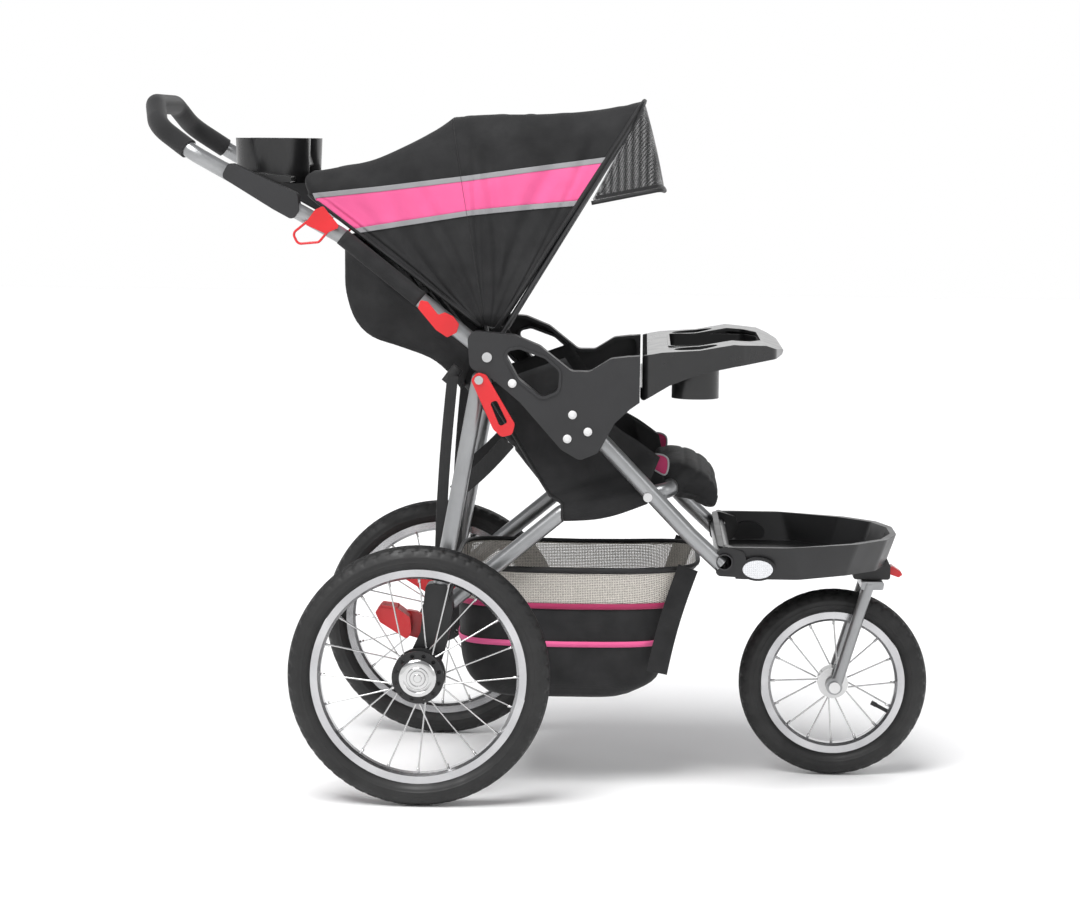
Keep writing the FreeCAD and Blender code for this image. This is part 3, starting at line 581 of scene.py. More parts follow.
for side_name, side in SIDES:
    wheel_y = REAR_WHEEL_Y * side
    wheel = "rear_wheel_" + side_name
    shown = make_tyre("tyre_" + side_name, 200.0, 164.5, 0.0, wheel_y, wheel)
    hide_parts("rear_tyre_" + side_name)
    spoke_nipples("nipples_" + side_name, 20, 149.5, 0.0, wheel_y, 200.0, wheel)
    valve("valve_" + side_name, 0.0, 200.0, 149.5, math.radians(70), wheel_y, wheel)
    face = wheel_y + side * 26.0
    rings = [(radius, face + side * raised) for radius, raised in CAP_RINGS]
    cap = lathe("hub_cap_" + side_name, rings, (0.0, 200.0), CHROME, 64)
    cap.data.set_sharp_from_angle(angle=math.radians(35))
    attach(cap, wheel)

front_shown = make_tyre("tyre_front", 150.5, 114.5, 645.0, 0.0, "front_wheel")
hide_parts("front_tyre")
spoke_nipples("nipples_front", 16, 99.5, 645.0, 0.0, 150.5, "front_wheel")
valve("valve_front", 645.0, 150.5, 99.5, math.radians(-28), 0.0, "front_wheel")


# ---- canopy ----
REAR_TOP = [
    (-180, 924),
    (-188, 944),
    (-180, 957),
    (-143, 965),
    (-87, 977),
    (-40, 997),
    (8, 1022),
    (38, 1042),
]
FRONT_TOP = [(38, 1042), (68, 1047), (112, 1049), (170, 1050), (232, 1054), (290, 1062), (330, 1071)]
REAR_FOOT = [(84, 727), (91, 728)]
FRONT_FOOT = [(91, 728), (110, 724)]
PANELS = {"rear": (REAR_TOP, REAR_FOOT), "front": (FRONT_TOP, FRONT_FOOT)}
# Each fold: its place along the panel, its slant, its width and its depth in mm.
CREASES = {
    "rear": [(0.2, -0.2, 0.032, 3.0), (0.46, 0.26, 0.045, 3.4), (0.74, -0.12, 0.03, 2.6)],
    "front": [
        (0.12, 0.14, 0.028, 2.6),
        (0.33, -0.3, 0.04, 3.6),
        (0.58, 0.24, 0.05, 3.2),
        (0.84, -0.14, 0.026, 2.4),
    ],
}


def canopy_ray(panel, u):
    top, foot = PANELS[panel]
    a = along(foot, u)
    b = along(top, u)
    return a, b


def crease(panel, u, reach, side):
    """Soft folds that fan out from the foot of a side panel and fade at its edges."""
    held = math.sin(math.pi * u) ** 0.6 * smooth(reach / 0.25) * smooth((1.02 - reach) / 0.3)
    total = 0.0
    for place, slope, width, depth in CREASES[panel]:
        away = (u - place - slope * (reach - 0.5)) / width
        total -= depth * math.exp(-away * away)
        total += depth * 0.55 * math.exp(-(abs(away) - 1.9) ** 2)
    total += 0.8 * noise.noise(Vector((u * 9 + side, reach * 5 + u * 4, 11.0)))
    return total * held


def canopy_point(panel, u, reach, side, lift=0.0):
    """A point on a side of the canopy, reach being the share of the way up its ray."""
    foot, top = canopy_ray(panel, u)
    x = mix(foot[0], top[0], reach)
    z = mix(foot[1], top[1], reach)
    sag = 7.0 * math.sin(math.pi * u) * math.sin(math.pi * min(1.0, reach)) ** 1.2
    ripple = noise.noise(Vector((u * 3.1 + side, reach * 2.3, 7.0 if panel == "rear" else 3.0)))
    waves = ripple * 2.2 * math.sin(math.pi * u) + crease(panel, u, reach, side)
    return x, (FABRIC_Y - sag + waves + lift) * side, z


def canopy_section(panel, u):
    """One bow-shaped line of the canopy: up one side, over the roof and down the other."""
    foot, top = canopy_ray(panel, u)
    length = math.hypot(top[0] - foot[0], top[1] - foot[1])
    out = ((top[0] - foot[0]) / length, (top[1] - foot[1]) / length)
    corner = mix(24.0, 46.0, smooth(u * 3)) if panel == "rear" else 46.0
    share = 1 - corner / length
    rows = []
    for i in range(14):
        rows.append(canopy_point(panel, u, share * i / 13, -1))
    edge = canopy_point(panel, u, share, -1)
    half = -edge[1]
    for i in range(1, 8):
        a = math.pi / 2 * i / 8
        drop = corner * (1 - math.sin(a))
        y = -(half - corner * (1 - math.cos(a)))
        rows.append((top[0] - out[0] * drop, y, top[1] - out[1] * drop))
    flat = half - corner
    for i in range(17):
        y = mix(-flat, flat, i / 16)
        bulge = 1 - (y / flat) ** 2
        sag = -5.0 * math.sin(math.pi * u) * (0.35 + 0.65 * bulge)
        if panel == "rear":
            sag -= 9.0 * bulge * smooth((0.3 - u) / 0.3)
        wave = noise.noise(Vector((top[0] / 70, y / 90, 1.0))) * 2.6 * math.sin(math.pi * u)
        wave += crease(panel, u, 0.55 + 0.35 * y / flat, -1) * 0.7
        lift = sag + wave + 2.0 * bulge
        rows.append((top[0] + out[0] * lift, y, top[1] + out[1] * lift))
    for i in range(7, 0, -1):
        a = math.pi / 2 * i / 8
        drop = corner * (1 - math.sin(a))
        y = half - corner * (1 - math.cos(a))
        rows.append((top[0] - out[0] * drop, y, top[1] - out[1] * drop))
    for i in range(13, -1, -1):
        rows.append(canopy_point(panel, u, share * i / 13, 1))
    return rows


def hang_canopy(obj, panel):
    """Bake a canopy piece's placement into its mesh; it is not fastened to any part."""
    if panel == "rear":
        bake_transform(obj)
    else:
        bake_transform(obj)


def make_canopy_panel(panel, node, steps):
    rows = []
    for i in range(steps + 1):
        rows.append([at(*p) for p in canopy_section(panel, i / steps)])
    obj = grid("canopy_cloth_" + panel, rows, FABRIC)
    thicken(obj, 1.0, 0.0)
    hang_canopy(obj, panel)
    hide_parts(node)
    return obj


def crossing(panel, u, line):
    """Where a canopy ray meets a line given as (x, z) points: the share of the way up."""
    foot, top = canopy_ray(panel, u)
    best = None
    for i in range(len(line) - 1):
        (x0, z0), (x1, z1) = line[i], line[i + 1]
        dx, dz = top[0] - foot[0], top[1] - foot[1]
        ex, ez = x1 - x0, z1 - z0
        area = dx * ez - dz * ex
        if abs(area) < 1e-6:
            continue
        t = ((x0 - foot[0]) * ez - (z0 - foot[1]) * ex) / area
        s = ((x0 - foot[0]) * dz - (z0 - foot[1]) * dx) / area
        gap = max(0.0, -s, s - 1)
        if best is None or gap < best[0]:
            best = (gap, t)
    return best[1]


STRIPE_TOP = [(-260, 912), (-175, 922), (-69, 934), (60, 951), (170, 967), (269, 981), (380, 997)]
STRIPE_LOW = [(-260, 836), (-175, 853), (-99, 871), (68, 899), (150, 908), (235, 916), (380, 931)]


def canopy_stripe(name, panel, side, low, high, lift, material, slot):
    rows = []
    for i in range(65):
        u = 0.004 + i / 64 * 0.992
        a = crossing(panel, u, [(x, z + low[1]) for x, z in low[0]])
        b = crossing(panel, u, [(x, z + high[1]) for x, z in high[0]])
        b = min(b, 0.955)
        a = min(a, b - 0.005)
        rows.append([at(*canopy_point(panel, u, mix(a, b, k / 8), side, lift)) for k in range(9)])
    obj = grid(name, rows, material)
    thicken(obj, 0.7, 0.0)
    hang_canopy(obj, panel)
    return obj


cloth_rear = make_canopy_panel("rear", "canopy_rear", 64)
cloth_front = make_canopy_panel("front", "canopy_front", 76)
trims = {"rear": [], "front": []}
for side_name, side in SIDES:
    for panel in PANELS:
        tag = panel + "_" + side_name
        inner = (STRIPE_LOW, 1.0), (STRIPE_TOP, -1.0)
        under = (STRIPE_LOW, -4.0), (STRIPE_LOW, 4.0)
        over = (STRIPE_TOP, -4.0), (STRIPE_TOP, 4.0)
        trims[panel] += [
            canopy_stripe("stripe_" + tag, panel, side, *inner, 1.1, PINK, "black_fabric"),
            canopy_stripe("piping_low_" + tag, panel, side, *under, 1.7, PIPING, "webbing"),
            canopy_stripe("piping_high_" + tag, panel, side, *over, 1.7, PIPING, "webbing"),
        ]


def section_tube(name, panel, u, radius, material):
    spots = [Vector(at(*p)) for p in canopy_section(panel, u)]
    obj = tube(name, spots, radius, material, 8)
    hang_canopy(obj, panel)
    trims[panel].append(obj)


section_tube("binding_front_edge", "front", 1.0, 3.4, BINDING)
section_tube("binding_rear_edge", "rear", 0.0, 3.0, BINDING)
section_tube("seam_middle_bow", "front", 0.01, 1.1, BINDING)


# ---- mesh sun visor ----
def visor_point(s, t):
    """s runs round the visor from one side to the other, t from its bottom hem up."""
    corner = 0.26
    if s < corner or s > 1 - corner:
        side = -1 if s < corner else 1
        f = (s if s < corner else 1 - s) / corner
        low = (mix(252, 356, f), side * mix(FABRIC_Y, FABRIC_Y - 10, smooth(f)), mix(916, 937, f))
        high = (mix(254, 329, f), side * mix(FABRIC_Y, FABRIC_Y - 5, smooth(f)), mix(922, 1066, f))
    else:
        f = (s - corner) / (1 - 2 * corner)
        y = mix(-1, 1, f)
        round_off = abs(y) ** 6
        low = (364 - 8 * round_off, y * (FABRIC_Y - 10), 934 + 3 * round_off)
        high = (331 - 2 * round_off, y * (FABRIC_Y - 5), 1070 - 4 * round_off)
    point = tuple(mix(a, b, t) for a, b in zip(low, high))
    puff = math.sin(math.pi * t) * 3.0
    return at(point[0] + puff * 0.7, point[1], point[2])


visor_rows = [[visor_point(i / 60, j / 12) for j in range(13)] for i in range(61)]
visor = grid("sun_visor", visor_rows, VISOR_NET)
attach(visor, "front_bow")
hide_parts("canopy_visor")
hem = tube("sun_visor_hem", [row[0] for row in visor_rows], 3.2, BINDING, 8)
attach(hem, "front_bow")


# ---- seat sling behind the child ----
SLING = [
    (-124, 856),
    (-124, 816),
    (-122, 776),
    (-108, 734),
    (-82, 708),
    (-38, 693),
    (8, 676),
    (36, 654),
    (56, 628),
]


def sling_rail(s):
    return mix(-132, 76, s), mix(862, 697, s)


def make_sling():
    rows = []
    lower = even(SLING, 29)
    for i in range(29):
        s = i / 28
        low = lower[i]
        rail = sling_rail(s)
        wrinkle = math.sin(s * 19) * 2.4 * math.sin(math.pi * s)
        row = []
        for side in (-1, 1):
            wall = []
            for k in range(9):
                t = k / 8
                y = mix(RAIL_Y - 1, 172, t ** 0.7) + wrinkle * math.sin(math.pi * t)
                wall.append(at(mix(rail[0], low[0], t), side * y, mix(rail[1] - 6, low[1], t)))
            bend = []
            for k in range(1, 4):
                a = k / 4
                y = 172 - 14 * a * a
                bend.append(at(low[0] + 3 * a, side * y, low[1] + 3 * a))
            row.append(wall + bend)
        middle = []
        for k in range(13):
            y = mix(-156, 156, k / 12)
            bulge = 1 - (y / 156) ** 2
            sway = noise.noise(Vector((s * 4, y / 80, 5.0))) * 2.5 * bulge
            middle.append(at(low[0] + 4 - sway, y, low[1] + 4 + sway))
        rows.append(row[0] + middle + row[1][::-1])
    obj = grid("seat_sling", rows, FABRIC)
    thicken(obj, 1.2, 0.0)
    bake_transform(obj)
    hem = tube("seat_sling_hem", rows[0], 2.6, BINDING, 8)
    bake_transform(hem)


make_sling()


def rail_sleeve(side_name, side):
    """Cloth sleeve that ties the sling to the handle rail."""
    y = side * RAIL_Y
    spots = line((-126, y, 861.2), (-6, y, 766.5), 25)
    sleeve = tube("rail_sleeve_" + side_name, spots, 13.1, FABRIC, 24)
    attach(sleeve, "handle")


for side_name, side in SIDES:
    rail_sleeve(side_name, side)


# ---- padded seat ----
def puff(obj, cap, voxel=5.0, pressure=4.0):
    """Fill a pad by a short cloth simulation, with each point's travel kept under cap."""
    remesh = obj.modifiers.new("even mesh", "REMESH")
    remesh.mode = "VOXEL"
    remesh.voxel_size = voxel / 1000
    remesh.use_smooth_shade = True
    settle(obj)
    start = [v.co.copy() for v in obj.data.vertices]
    cloth_mod = obj.modifiers.new("fill", "CLOTH")
    settings = cloth_mod.settings
    settings.quality = 5
    settings.mass = 0.3
    settings.use_pressure = True
    settings.uniform_pressure_force = pressure
    settings.effector_weights.gravity = 0.0
    settings.tension_stiffness = 25
    settings.compression_stiffness = 15
    settings.bending_stiffness = 0.6
    cloth_mod.point_cache.frame_start = 1
    cloth_mod.point_cache.frame_end = 20
    scene = bpy.context.scene
    for number in range(1, 21):
        scene.frame_set(number)
    settle(obj)
    scene.frame_set(1)
    for vertex, before in zip(obj.data.vertices, start):
        step = vertex.co - before
        if step.length > cap / 1000:
            vertex.co = before + step.normalized() * cap / 1000
    return obj


def soften(obj, levels=1, turns=6):
    """Relax the surface a little and subdivide it once."""
    relax = obj.modifiers.new("relax", "SMOOTH")
    relax.factor = 0.5
    relax.iterations = turns
    rounding = obj.modifiers.new("rounding", "SUBSURF")
    rounding.levels = levels
    rounding.render_levels = levels
    settle(obj)
    for polygon in obj.data.polygons:
        polygon.use_smooth = True
    return obj


def press_seams(obj, seams, depth, width):
    """Sew channels into a pad: seams are functions of a point in mm that give a distance."""
    normals = [v.normal.copy() for v in obj.data.vertices]
    for vertex, normal in zip(obj.data.vertices, normals):
        x = (vertex.co.x - AXLE_X) * 1000
        y = vertex.co.y * 1000
        z = vertex.co.z * 1000
        gap = min(seam(x, y, z) for seam in seams)
        vertex.co -= normal * depth / 1000 * math.exp(-(gap / width) ** 2)
    obj.data.update()


def slab(name, outline, half_width, material, inset=3.0):
    """A soft-edged block: a side outline carried across the seat."""
    count = len(outline)
    middle_x = sum(p[0] for p in outline) / count
    middle_z = sum(p[1] for p in outline) / count
    rows = []
    for y, shrink in ((-half_width, inset), (-half_width + inset, 0), (half_width - inset, 0),
                      (half_width, inset)):
        row = []
        for x, z in outline:
            away = Vector((x - middle_x, 0, z - middle_z))
            share = max(0.0, 1 - shrink / max(away.length, 1))
            row.append(at(middle_x + away.x * share, y, middle_z + away.z * share))
        rows.append(row)
    obj = grid(name, rows, material, wrap_across=True)
    cap_ends(obj)
    return obj


BACK_UP = Vector((-310.0, 382.0)).normalized()


def along_back(x, z):
    return (x - 206) * BACK_UP[0] + (z - 470) * BACK_UP[1]


def make_seat_back():
    outline = [(204, 474), (209, 486), (-88, 852), (-96, 856), (-110, 854), (-110, 845), (188, 476)]
    obj = slab("seat_back_pad", outline, 145, PAD)
    puff(obj, 6.0, 5.0, 3.0)
    soften(obj)
    channels = [lambda x, y, z: abs(abs(y) - 62)]
    for height in (95, 190, 285, 380):
        channels.append(lambda x, y, z, h=height: abs(along_back(x, z) - h))
    press_seams(obj, channels, 2.6, 3.2)
    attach(obj, "seat_rest")
    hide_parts("seat_back")
    return obj


def make_seat_cushion():
    outline = [
        (224, 462),
        (234, 455),
        (300, 467),
        (342, 489),
        (346, 500),
        (338, 509),
        (300, 506),
        (236, 492),
    ]
    obj = slab("seat_cushion", outline, 147, PAD)
    puff(obj, 8.0, 5.0, 4.0)
    soften(obj)
    press_seams(obj, [lambda x, y, z: abs(abs(y) - 62), lambda x, y, z: abs(x - 282)], 2.6, 3.2)
    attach(obj, "seat_frame")
    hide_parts("seat_pan")
    return obj


def make_calf_rest():
    outline = [(354, 482), (374, 466), (408, 462), (434, 452), (444, 442), (452, 440), (456, 460),
               (444, 485), (410, 507), (372, 514), (354, 508)]
    obj = slab("calf_cushion", outline, 142, PAD)
    puff(obj, 7.0, 5.0, 4.0)
    soften(obj)
    ribs = [lambda x, y, z: abs((x * 0.8 - z * 0.6) % 24 - 12)]
    press_seams(obj, ribs, 1.8, 3.0)
    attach(obj, "seat_frame")
    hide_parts("calf_rest")
    return obj


seat_back = make_seat_back()
seat_cushion = make_seat_cushion()
calf_cushion = make_calf_rest()

# Sides of the lower seat: cloth that hangs from the armrest brackets to the seat tube.
SIDE_REAR = [(92, 634), (108, 600), (142, 548), (172, 500), (194, 466)]
SIDE_FRONT = [(214, 678), (250, 626), (290, 577), (330, 551), (362, 528)]
SIDE_TUBE = ((213.0, 442.8), (344.0, 471.6))
SEAT_TUBE_Y = 187.0
WRAP_R = 12.95
WRAP_TURN = (96, -118)
WRAP_ROWS = 13
SIDE_ROWS = 22


def seat_side(side_name, side):
    rear = even(SIDE_REAR, SIDE_ROWS)
    front = even(SIDE_FRONT, SIDE_ROWS)
    columns = 25
    rows = []
    for i in range(SIDE_ROWS):
        s = i / (SIDE_ROWS - 1)
        row = []
        for k in range(columns):
            t = k / (columns - 1)
            x = mix(rear[i][0], front[i][0], t)
            z = mix(rear[i][1], front[i][1], t)
            pull = math.exp(-((t - 0.38 - 0.2 * s) / 0.05) ** 2)
            pull += 0.8 * math.exp(-((t - 0.7 + 0.12 * s) / 0.06) ** 2)
            folds = noise.noise(Vector((x / 40, z / 60, side))) * 2.2
            folds -= 2.4 * pull * math.sin(math.pi * s)
            y = mix(158.6, 178.0, smooth((s - 0.3) / 0.7)) + folds * math.sin(math.pi * s) ** 0.5
            row.append((x, y, z))
        rows.append(row)
    low = rows[-1]
    for turn in range(1, WRAP_ROWS + 1):
        a = math.radians(mix(*WRAP_TURN, (turn - 1) / (WRAP_ROWS - 1)))
        ease = smooth(turn / 3)
        row = []
        for k in range(columns):
            t = k / (columns - 1)
            tube_x = mix(SIDE_TUBE[0][0], SIDE_TUBE[1][0], t)
            tube_z = mix(SIDE_TUBE[0][1], SIDE_TUBE[1][1], t)
            droop = 9 * math.sin(math.pi * t) * smooth((-a - 0.5) / 1.2)
            y = SEAT_TUBE_Y + WRAP_R * math.cos(a)
            z = tube_z + (WRAP_R + 1.5) * math.sin(a) - droop
            row.append((mix(low[k][0], tube_x, ease), y, mix(low[k][2], z, ease)))
        rows.append(row)
    rows = [[at(x, side * y, z) for x, y, z in row] for row in rows]
    obj = grid("seat_side_" + side_name, rows, FABRIC)
    thicken(obj, 0.6, 0.0)
    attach(obj, "seat_frame")
    hem_path = [row[0] for row in rows]
    rear_hem = tube("seat_side_hem_" + side_name, hem_path, 2.2, BINDING, 8)
    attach(rear_hem, "seat_frame")
    front_side(side_name, side)


def front_side(side_name, side):
    """Cloth between the seat side and the calf rest, with its bright corner patch."""
    rows = []
    for i in range(13):
        s = i / 12
        row = []
        for k in range(9):
            t = k / 8
            x = mix(mix(316, 344, s), mix(362, 372, s), t)
            z = mix(mix(556, 474, s), mix(528, 480, s), t)
            row.append(at(x, side * (160.5 + 1.5 * math.sin(math.pi * s)), z))
        rows.append(row)
    cheek = grid("seat_front_side_" + side_name, rows, FABRIC)
    thicken(cheek, 2.4, 0.0)
    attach(cheek, "seat_frame")
    corner = [(333, 520), (356, 531), (374, 524), (371, 500), (352, 508)]
    outline = even(corner + [corner[0]], 41)[:-1]
    middle = (354, 516)
    patch_rows = []
    for share in (1.0, 0.8, 0.5, 0.2, 0.02):
        y = side * (164.6 - 1.2 * share)
        patch_rows.append([
            at(mix(middle[0], x, share), y, mix(middle[1], z, share)) for x, z in outline
        ])
    name = "seat_corner_patch_" + side_name
    patch = grid(name, patch_rows, DEEP_PINK, wrap_across=True)
    thicken(patch, 1.2, 0.0)
    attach(patch, "seat_frame")
    name = "seat_corner_piping_" + side_name
    edge = tube(name, patch_rows[0], 1.5, PIPING, 8, closed=True)
    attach(edge, "seat_frame")


for side_name, side in SIDES:
    seat_side(side_name, side)


# ---- harness ----
def surface_tree(obj):
    bpy.context.view_layer.update()
    model = bmesh.new()
    model.from_mesh(obj.data)
    tree = BVHTree.FromBMesh(model)
    model.free()
    return tree


def lay_on(tree, spots, direction, gap):
    """Drop points on a pad's surface along a direction, and lift them off it by a gap."""
    result = []
    for spot in spots:
        hit = tree.ray_cast(spot - direction * 0.08, direction)[0]
        result.append((hit or spot) - direction * gap / 1000)
    return result


back_tree = surface_tree(seat_back)
cushion_tree = surface_tree(seat_cushion)
INTO_BACK = Vector((-BACK_UP[1], 0, BACK_UP[0]))
for side_name, side in SIDES:
    spots = []
    for i in range(31):
        t = i / 30
        y = side * mix(60, 46, t)
        reach = mix(120, 400, t)
        spots.append(at(212 + BACK_UP[0] * reach, y, 478 + BACK_UP[1] * reach))
    path = lay_on(back_tree, spots, INTO_BACK, 0.8)
    strap = ribbon("shoulder_strap_" + side_name, path, -INTO_BACK, 20, 1.6, WEBBING)
    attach(strap, "seat_rest")
    cushion_path = lay_on(back_tree, spots[14:27], INTO_BACK, 2.6)
    pad = ribbon("shoulder_pad_" + side_name, cushion_path, -INTO_BACK, 38, 6.0, PAD)
    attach(pad, "seat_rest")
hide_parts("shoulder_straps")

DOWN = Vector((0, 0, -1))
BUCKLE_X = 262.0
belt_spots = line((BUCKLE_X, -146, 520), (BUCKLE_X, 146, 520), 31)
belt_path = lay_on(cushion_tree, belt_spots, DOWN, 0.9)
belt = ribbon("waist_belt", belt_path, Vector((0, 0, 1)), 22, 1.8, WEBBING)
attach(belt, "seat_frame")
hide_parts("lap_belt")
crotch_spots = line((272, 0, 520), (336, 0, 520), 17)
crotch_path = lay_on(cushion_tree, crotch_spots, DOWN, 0.9)
crotch = ribbon("crotch_strap", crotch_path, Vector((0, 0, 1)), 24, 1.8, WEBBING)
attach(crotch, "seat_frame")


def make_buckle():
    """Side-release buckle: a crowned body with two prongs."""
    top = max(p.z for p in belt_path) * 1000 + 2.5
    model = bmesh.new()
    x = BUCKLE_X
    for y, wide, long, tall in ((0, 36, 30, 11), (27, 18, 22, 7), (-27, 18, 22, 7)):
        made = bmesh.ops.create_cube(model, size=1.0)
        for vertex in made["verts"]:
            scaled = (vertex.co.x * long, vertex.co.y * wide, vertex.co.z * tall)
            vertex.co = at(x + scaled[0], y + scaled[1], top + tall / 2 + scaled[2])
    mesh = bpy.data.meshes.new("harness_buckle")
    model.to_mesh(mesh)
    model.free()
    mesh.materials.append(BLACK)
    obj = bpy.data.objects.new("harness_buckle", mesh)
    bpy.context.scene.collection.objects.link(obj)
    edge = obj.modifiers.new("edge", "BEVEL")
    edge.width = 0.0028
    edge.segments = 4
    settle(obj)
    for polygon in obj.data.polygons:
        polygon.use_smooth = True
    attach(obj, "seat_frame")


make_buckle()


# ---- basket ----
BASKET_REAR = [(46, 354), (47, 320), (48, 280), (50, 236), (54, 196), (66, 166), (90, 146)]
BASKET_FRONT = [(424, 354), (410, 320), (394, 280), (380, 242), (371, 200), (362, 172), (326, 149)]
BASKET_WIDE = [165.0, 165.0, 164.0, 163.0, 160.0, 153.0, 138.0]


def basket_ring(t, lift=0.0, steps=96):
    """One level of the basket, from its rim at 0 to the edge of its floor at 1."""
    rear = along(BASKET_REAR, t)
    front = along(BASKET_FRONT, t)
    half = along([(w,) for w in BASKET_WIDE], t)[0]
    middle = (rear[0] + front[0]) / 2
    reach = (front[0] - rear[0]) / 2
    ring = []
    for k in range(steps):
        a = 2 * math.pi * k / steps
        c = math.copysign(abs(math.cos(a)) ** 0.36, math.cos(a))
        s = math.copysign(abs(math.sin(a)) ** 0.36, math.sin(a))
        x = middle + reach * c
        sag = 3.5 * math.sin(math.pi * min(1.0, t * 1.1)) * math.sin((x - 40) / 55 + 1.3 * s)
        y = (half + sag * 0.55 + lift) * s
        droop = 5.0 * (1 - t) * math.sin(math.pi * (x - 46) / 378)
        ring.append(at(x + lift * c, y, mix(rear[1], front[1], 0.5) - droop))
    return ring


def basket_level(z):
    """The share of the way down at which the basket's side has this height."""
    low, high = 0.0, 1.0
    for _ in range(30):
        half = (low + high) / 2
        if along(BASKET_REAR, half)[1] > z:
            low = half
        else:
            high = half
    return low


NET_END = basket_level(296)


def basket_piece(name, levels, material, lift=0.0, thickness=1.0, floor=False):
    rows = [basket_ring(t, lift) for t in levels]
    if floor:
        centre = sum(rows[-1], Vector()) / len(rows[-1])
        edge = rows[-1]
        for share, drop in ((0.88, 6), (0.7, 10), (0.5, 12.5), (0.3, 13.5), (0.12, 14)):
            down = Vector((0, 0, drop / 1000))
            rows.append([centre + (p - centre) * share - down for p in edge])
    obj = grid(name, rows, material, wrap_across=True)
    if floor:
        cap_floor(obj, len(rows), len(rows[0]))
    thicken(obj, thickness, -1.0)
    fold_basket(obj)
    return obj


def cap_floor(obj, rows, wide):
    model = bmesh.new()
    model.from_mesh(obj.data)
    model.verts.ensure_lookup_table()
    last = [model.verts[(rows - 1) * wide + k] for k in range(wide)]
    model.faces.new(last)
    bmesh.ops.recalc_face_normals(model, faces=model.faces)
    model.to_mesh(obj.data)
    model.free()


def fold_basket(obj):
    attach(obj, "frame")
    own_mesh(obj)


def spans(start, stop, count):
    return [mix(start, stop, i / count) for i in range(count + 1)]


basket_net = basket_piece("basket_net", spans(0.0, NET_END, 8), BASKET_NET, 0.0, 0.8)
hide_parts("basket_front", "basket_rear")
basket_tub = basket_piece("basket_tub", spans(NET_END, 1.0, 20), FABRIC, 0.0, 1.2, True)


def basket_band(name, z, width, material, lift=1.2):
    middle = basket_level(z)
    half = (basket_level(z - width / 2) - basket_level(z + width / 2)) / 2
    levels = [max(0.0, middle - half), middle, middle + half]
    return basket_piece(name, levels, material, lift, 1.0)


rim_band = basket_band("basket_rim", 352, 11, BINDING)
rim_cord = tube("basket_rim_cord", basket_ring(0.0, 1.0), 3.6, BINDING, 10, closed=True)
fold_basket(rim_cord)
high_band = basket_band("basket_band_high", 296, 9, DEEP_PINK)
low_band = basket_band("basket_band_low", 232, 9, PINK)

for side_name, side in SIDES:
    spots = []
    for i in range(21):
        t = i / 20
        x = mix(408, 362, t) - 4 * math.sin(math.pi * t)
        spots.append(at(x, side * mix(167.5, 163.0, t), mix(356, 190, t)))
    outward = Vector((0, side, 0))
    name = "basket_front_strap_" + side_name
    strap = ribbon(name, spots, outward, 32, 1.6, FABRIC)
    fold_basket(strap)


# ---- tie straps between the seat and the rear legs ----
for side_name, side in SIDES:
    outward = Vector((0, side, 0))
    spots = []
    for i in range(33):
        t = i / 32
        bow = 4 * math.sin(math.pi * t)
        spots.append(at(mix(44, 26, t) - bow, side * 203.2, mix(652, 330, t)))
    strap = ribbon("back_strap_" + side_name, spots, outward, 17, 1.5, WEBBING)
    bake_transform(strap)
    if side < 0:
        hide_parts("back_straps")
    spots = line((34, side * 199.0, 640), (52, side * 199.0, 664), 7)
    name = "strap_knot_" + side_name
    knot = tube(name, spots, 9.0, WEBBING, 16, flat=0.6, up=outward)
    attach(knot, "frame")
    spots = []
    for i in range(25):
        t = i / 24
        dip = 5 * math.sin(math.pi * t)
        spots.append(at(mix(128, 46, t), side * 171.0, mix(548, 468, t) - dip))
    brace = ribbon("seat_brace_" + side_name, spots, outward, 24, 1.5, WEBBING)
    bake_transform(brace)

# ---- floor, light and camera ----
def floor():
    mesh = bpy.data.meshes.new("floor")
    far = 14.0
    corners = [(-far, -far, 0), (far, -far, 0), (far, far, 0), (-far, far, 0)]
    mesh.from_pydata(corners, [], [(0, 1, 2, 3)])
    made = Finish("pale_floor", 0.7)
    made.colours(made.clouds(2.5, 3), (0.93, 0.93, 0.93), (0.95, 0.95, 0.95))
    mesh.materials.append(made.material)
    obj = bpy.data.objects.new("floor", mesh)
    bpy.context.scene.collection.objects.link(obj)


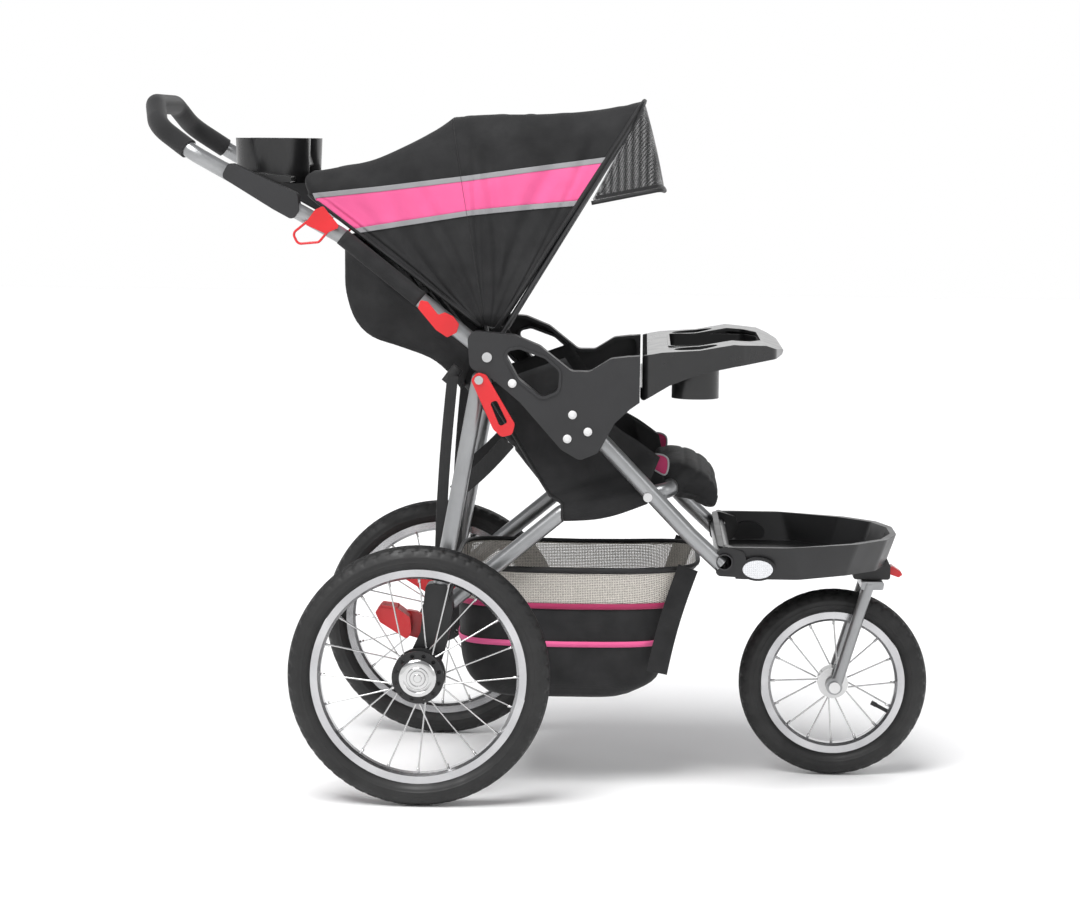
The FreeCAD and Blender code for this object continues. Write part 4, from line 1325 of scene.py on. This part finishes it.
def area_light(name, place, target, size, power):
    lamp = bpy.data.lights.new(name, "AREA")
    lamp.shape = "RECTANGLE"
    lamp.size = size[0]
    lamp.size_y = size[1]
    lamp.energy = power
    obj = bpy.data.objects.new(name, lamp)
    bpy.context.scene.collection.objects.link(obj)
    obj.location = place
    obj.rotation_euler = (Vector(target) - Vector(place)).to_track_quat("-Z", "Y").to_euler()


def studio():
    world = bpy.data.worlds.new("studio")
    bpy.context.scene.world = world
    world.use_nodes = True
    tree = world.node_tree
    place = tree.nodes.new("ShaderNodeTexCoord")
    split = tree.nodes.new("ShaderNodeSeparateXYZ")
    shade = tree.nodes.new("ShaderNodeValToRGB")
    shade.color_ramp.elements[0].position = 0.30
    shade.color_ramp.elements[0].color = (1, 1, 1, 1)
    shade.color_ramp.elements[1].position = 0.42
    shade.color_ramp.elements[1].color = (0.34, 0.34, 0.35, 1)
    tree.links.new(place.outputs["Generated"], split.inputs[0])
    tree.links.new(split.outputs["Z"], shade.inputs[0])
    tree.links.new(shade.outputs[0], tree.nodes["Background"].inputs["Color"])
    sun = bpy.data.lights.new("sun", "SUN")
    sun.energy = 2.7
    sun.angle = math.radians(35)
    lamp = bpy.data.objects.new("sun", sun)
    bpy.context.scene.collection.objects.link(lamp)
    lamp.rotation_euler = (math.radians(24), math.radians(-14), 0)
    area_light("key", (-1.6, -2.6, 3.2), (0, 0, 0.5), (1.6, 1.2), 34)
    area_light("fill", (3.0, -2.4, 2.2), (0, 0, 0.5), (1.2, 1.8), 16)
    area_light("back", (0.4, 3.8, 2.4), (0, 0, 0.6), (3.0, 1.4), 25)


def camera():
    data = bpy.data.cameras.new("camera")
    data.lens = 97.457
    data.sensor_width = 36.0
    obj = bpy.data.objects.new("camera", data)
    bpy.context.scene.collection.objects.link(obj)
    yaw = math.radians(1.966)
    pitch = math.radians(6.182)
    heading = Vector((
        -math.sin(yaw) * math.cos(pitch),
        math.cos(yaw) * math.cos(pitch),
        -math.sin(pitch),
    ))
    aim = heading.to_track_quat("-Z", "Y").to_matrix()
    roll = Matrix.Rotation(math.radians(0.5935), 3, "Z")
    obj.matrix_world = Matrix.Translation((0.15476, -4.6433, 1.02062)) @ (aim @ roll).to_4x4()
    bpy.context.scene.camera = obj


floor()
studio()
camera()
bpy.context.scene.view_settings.view_transform = "Standard"
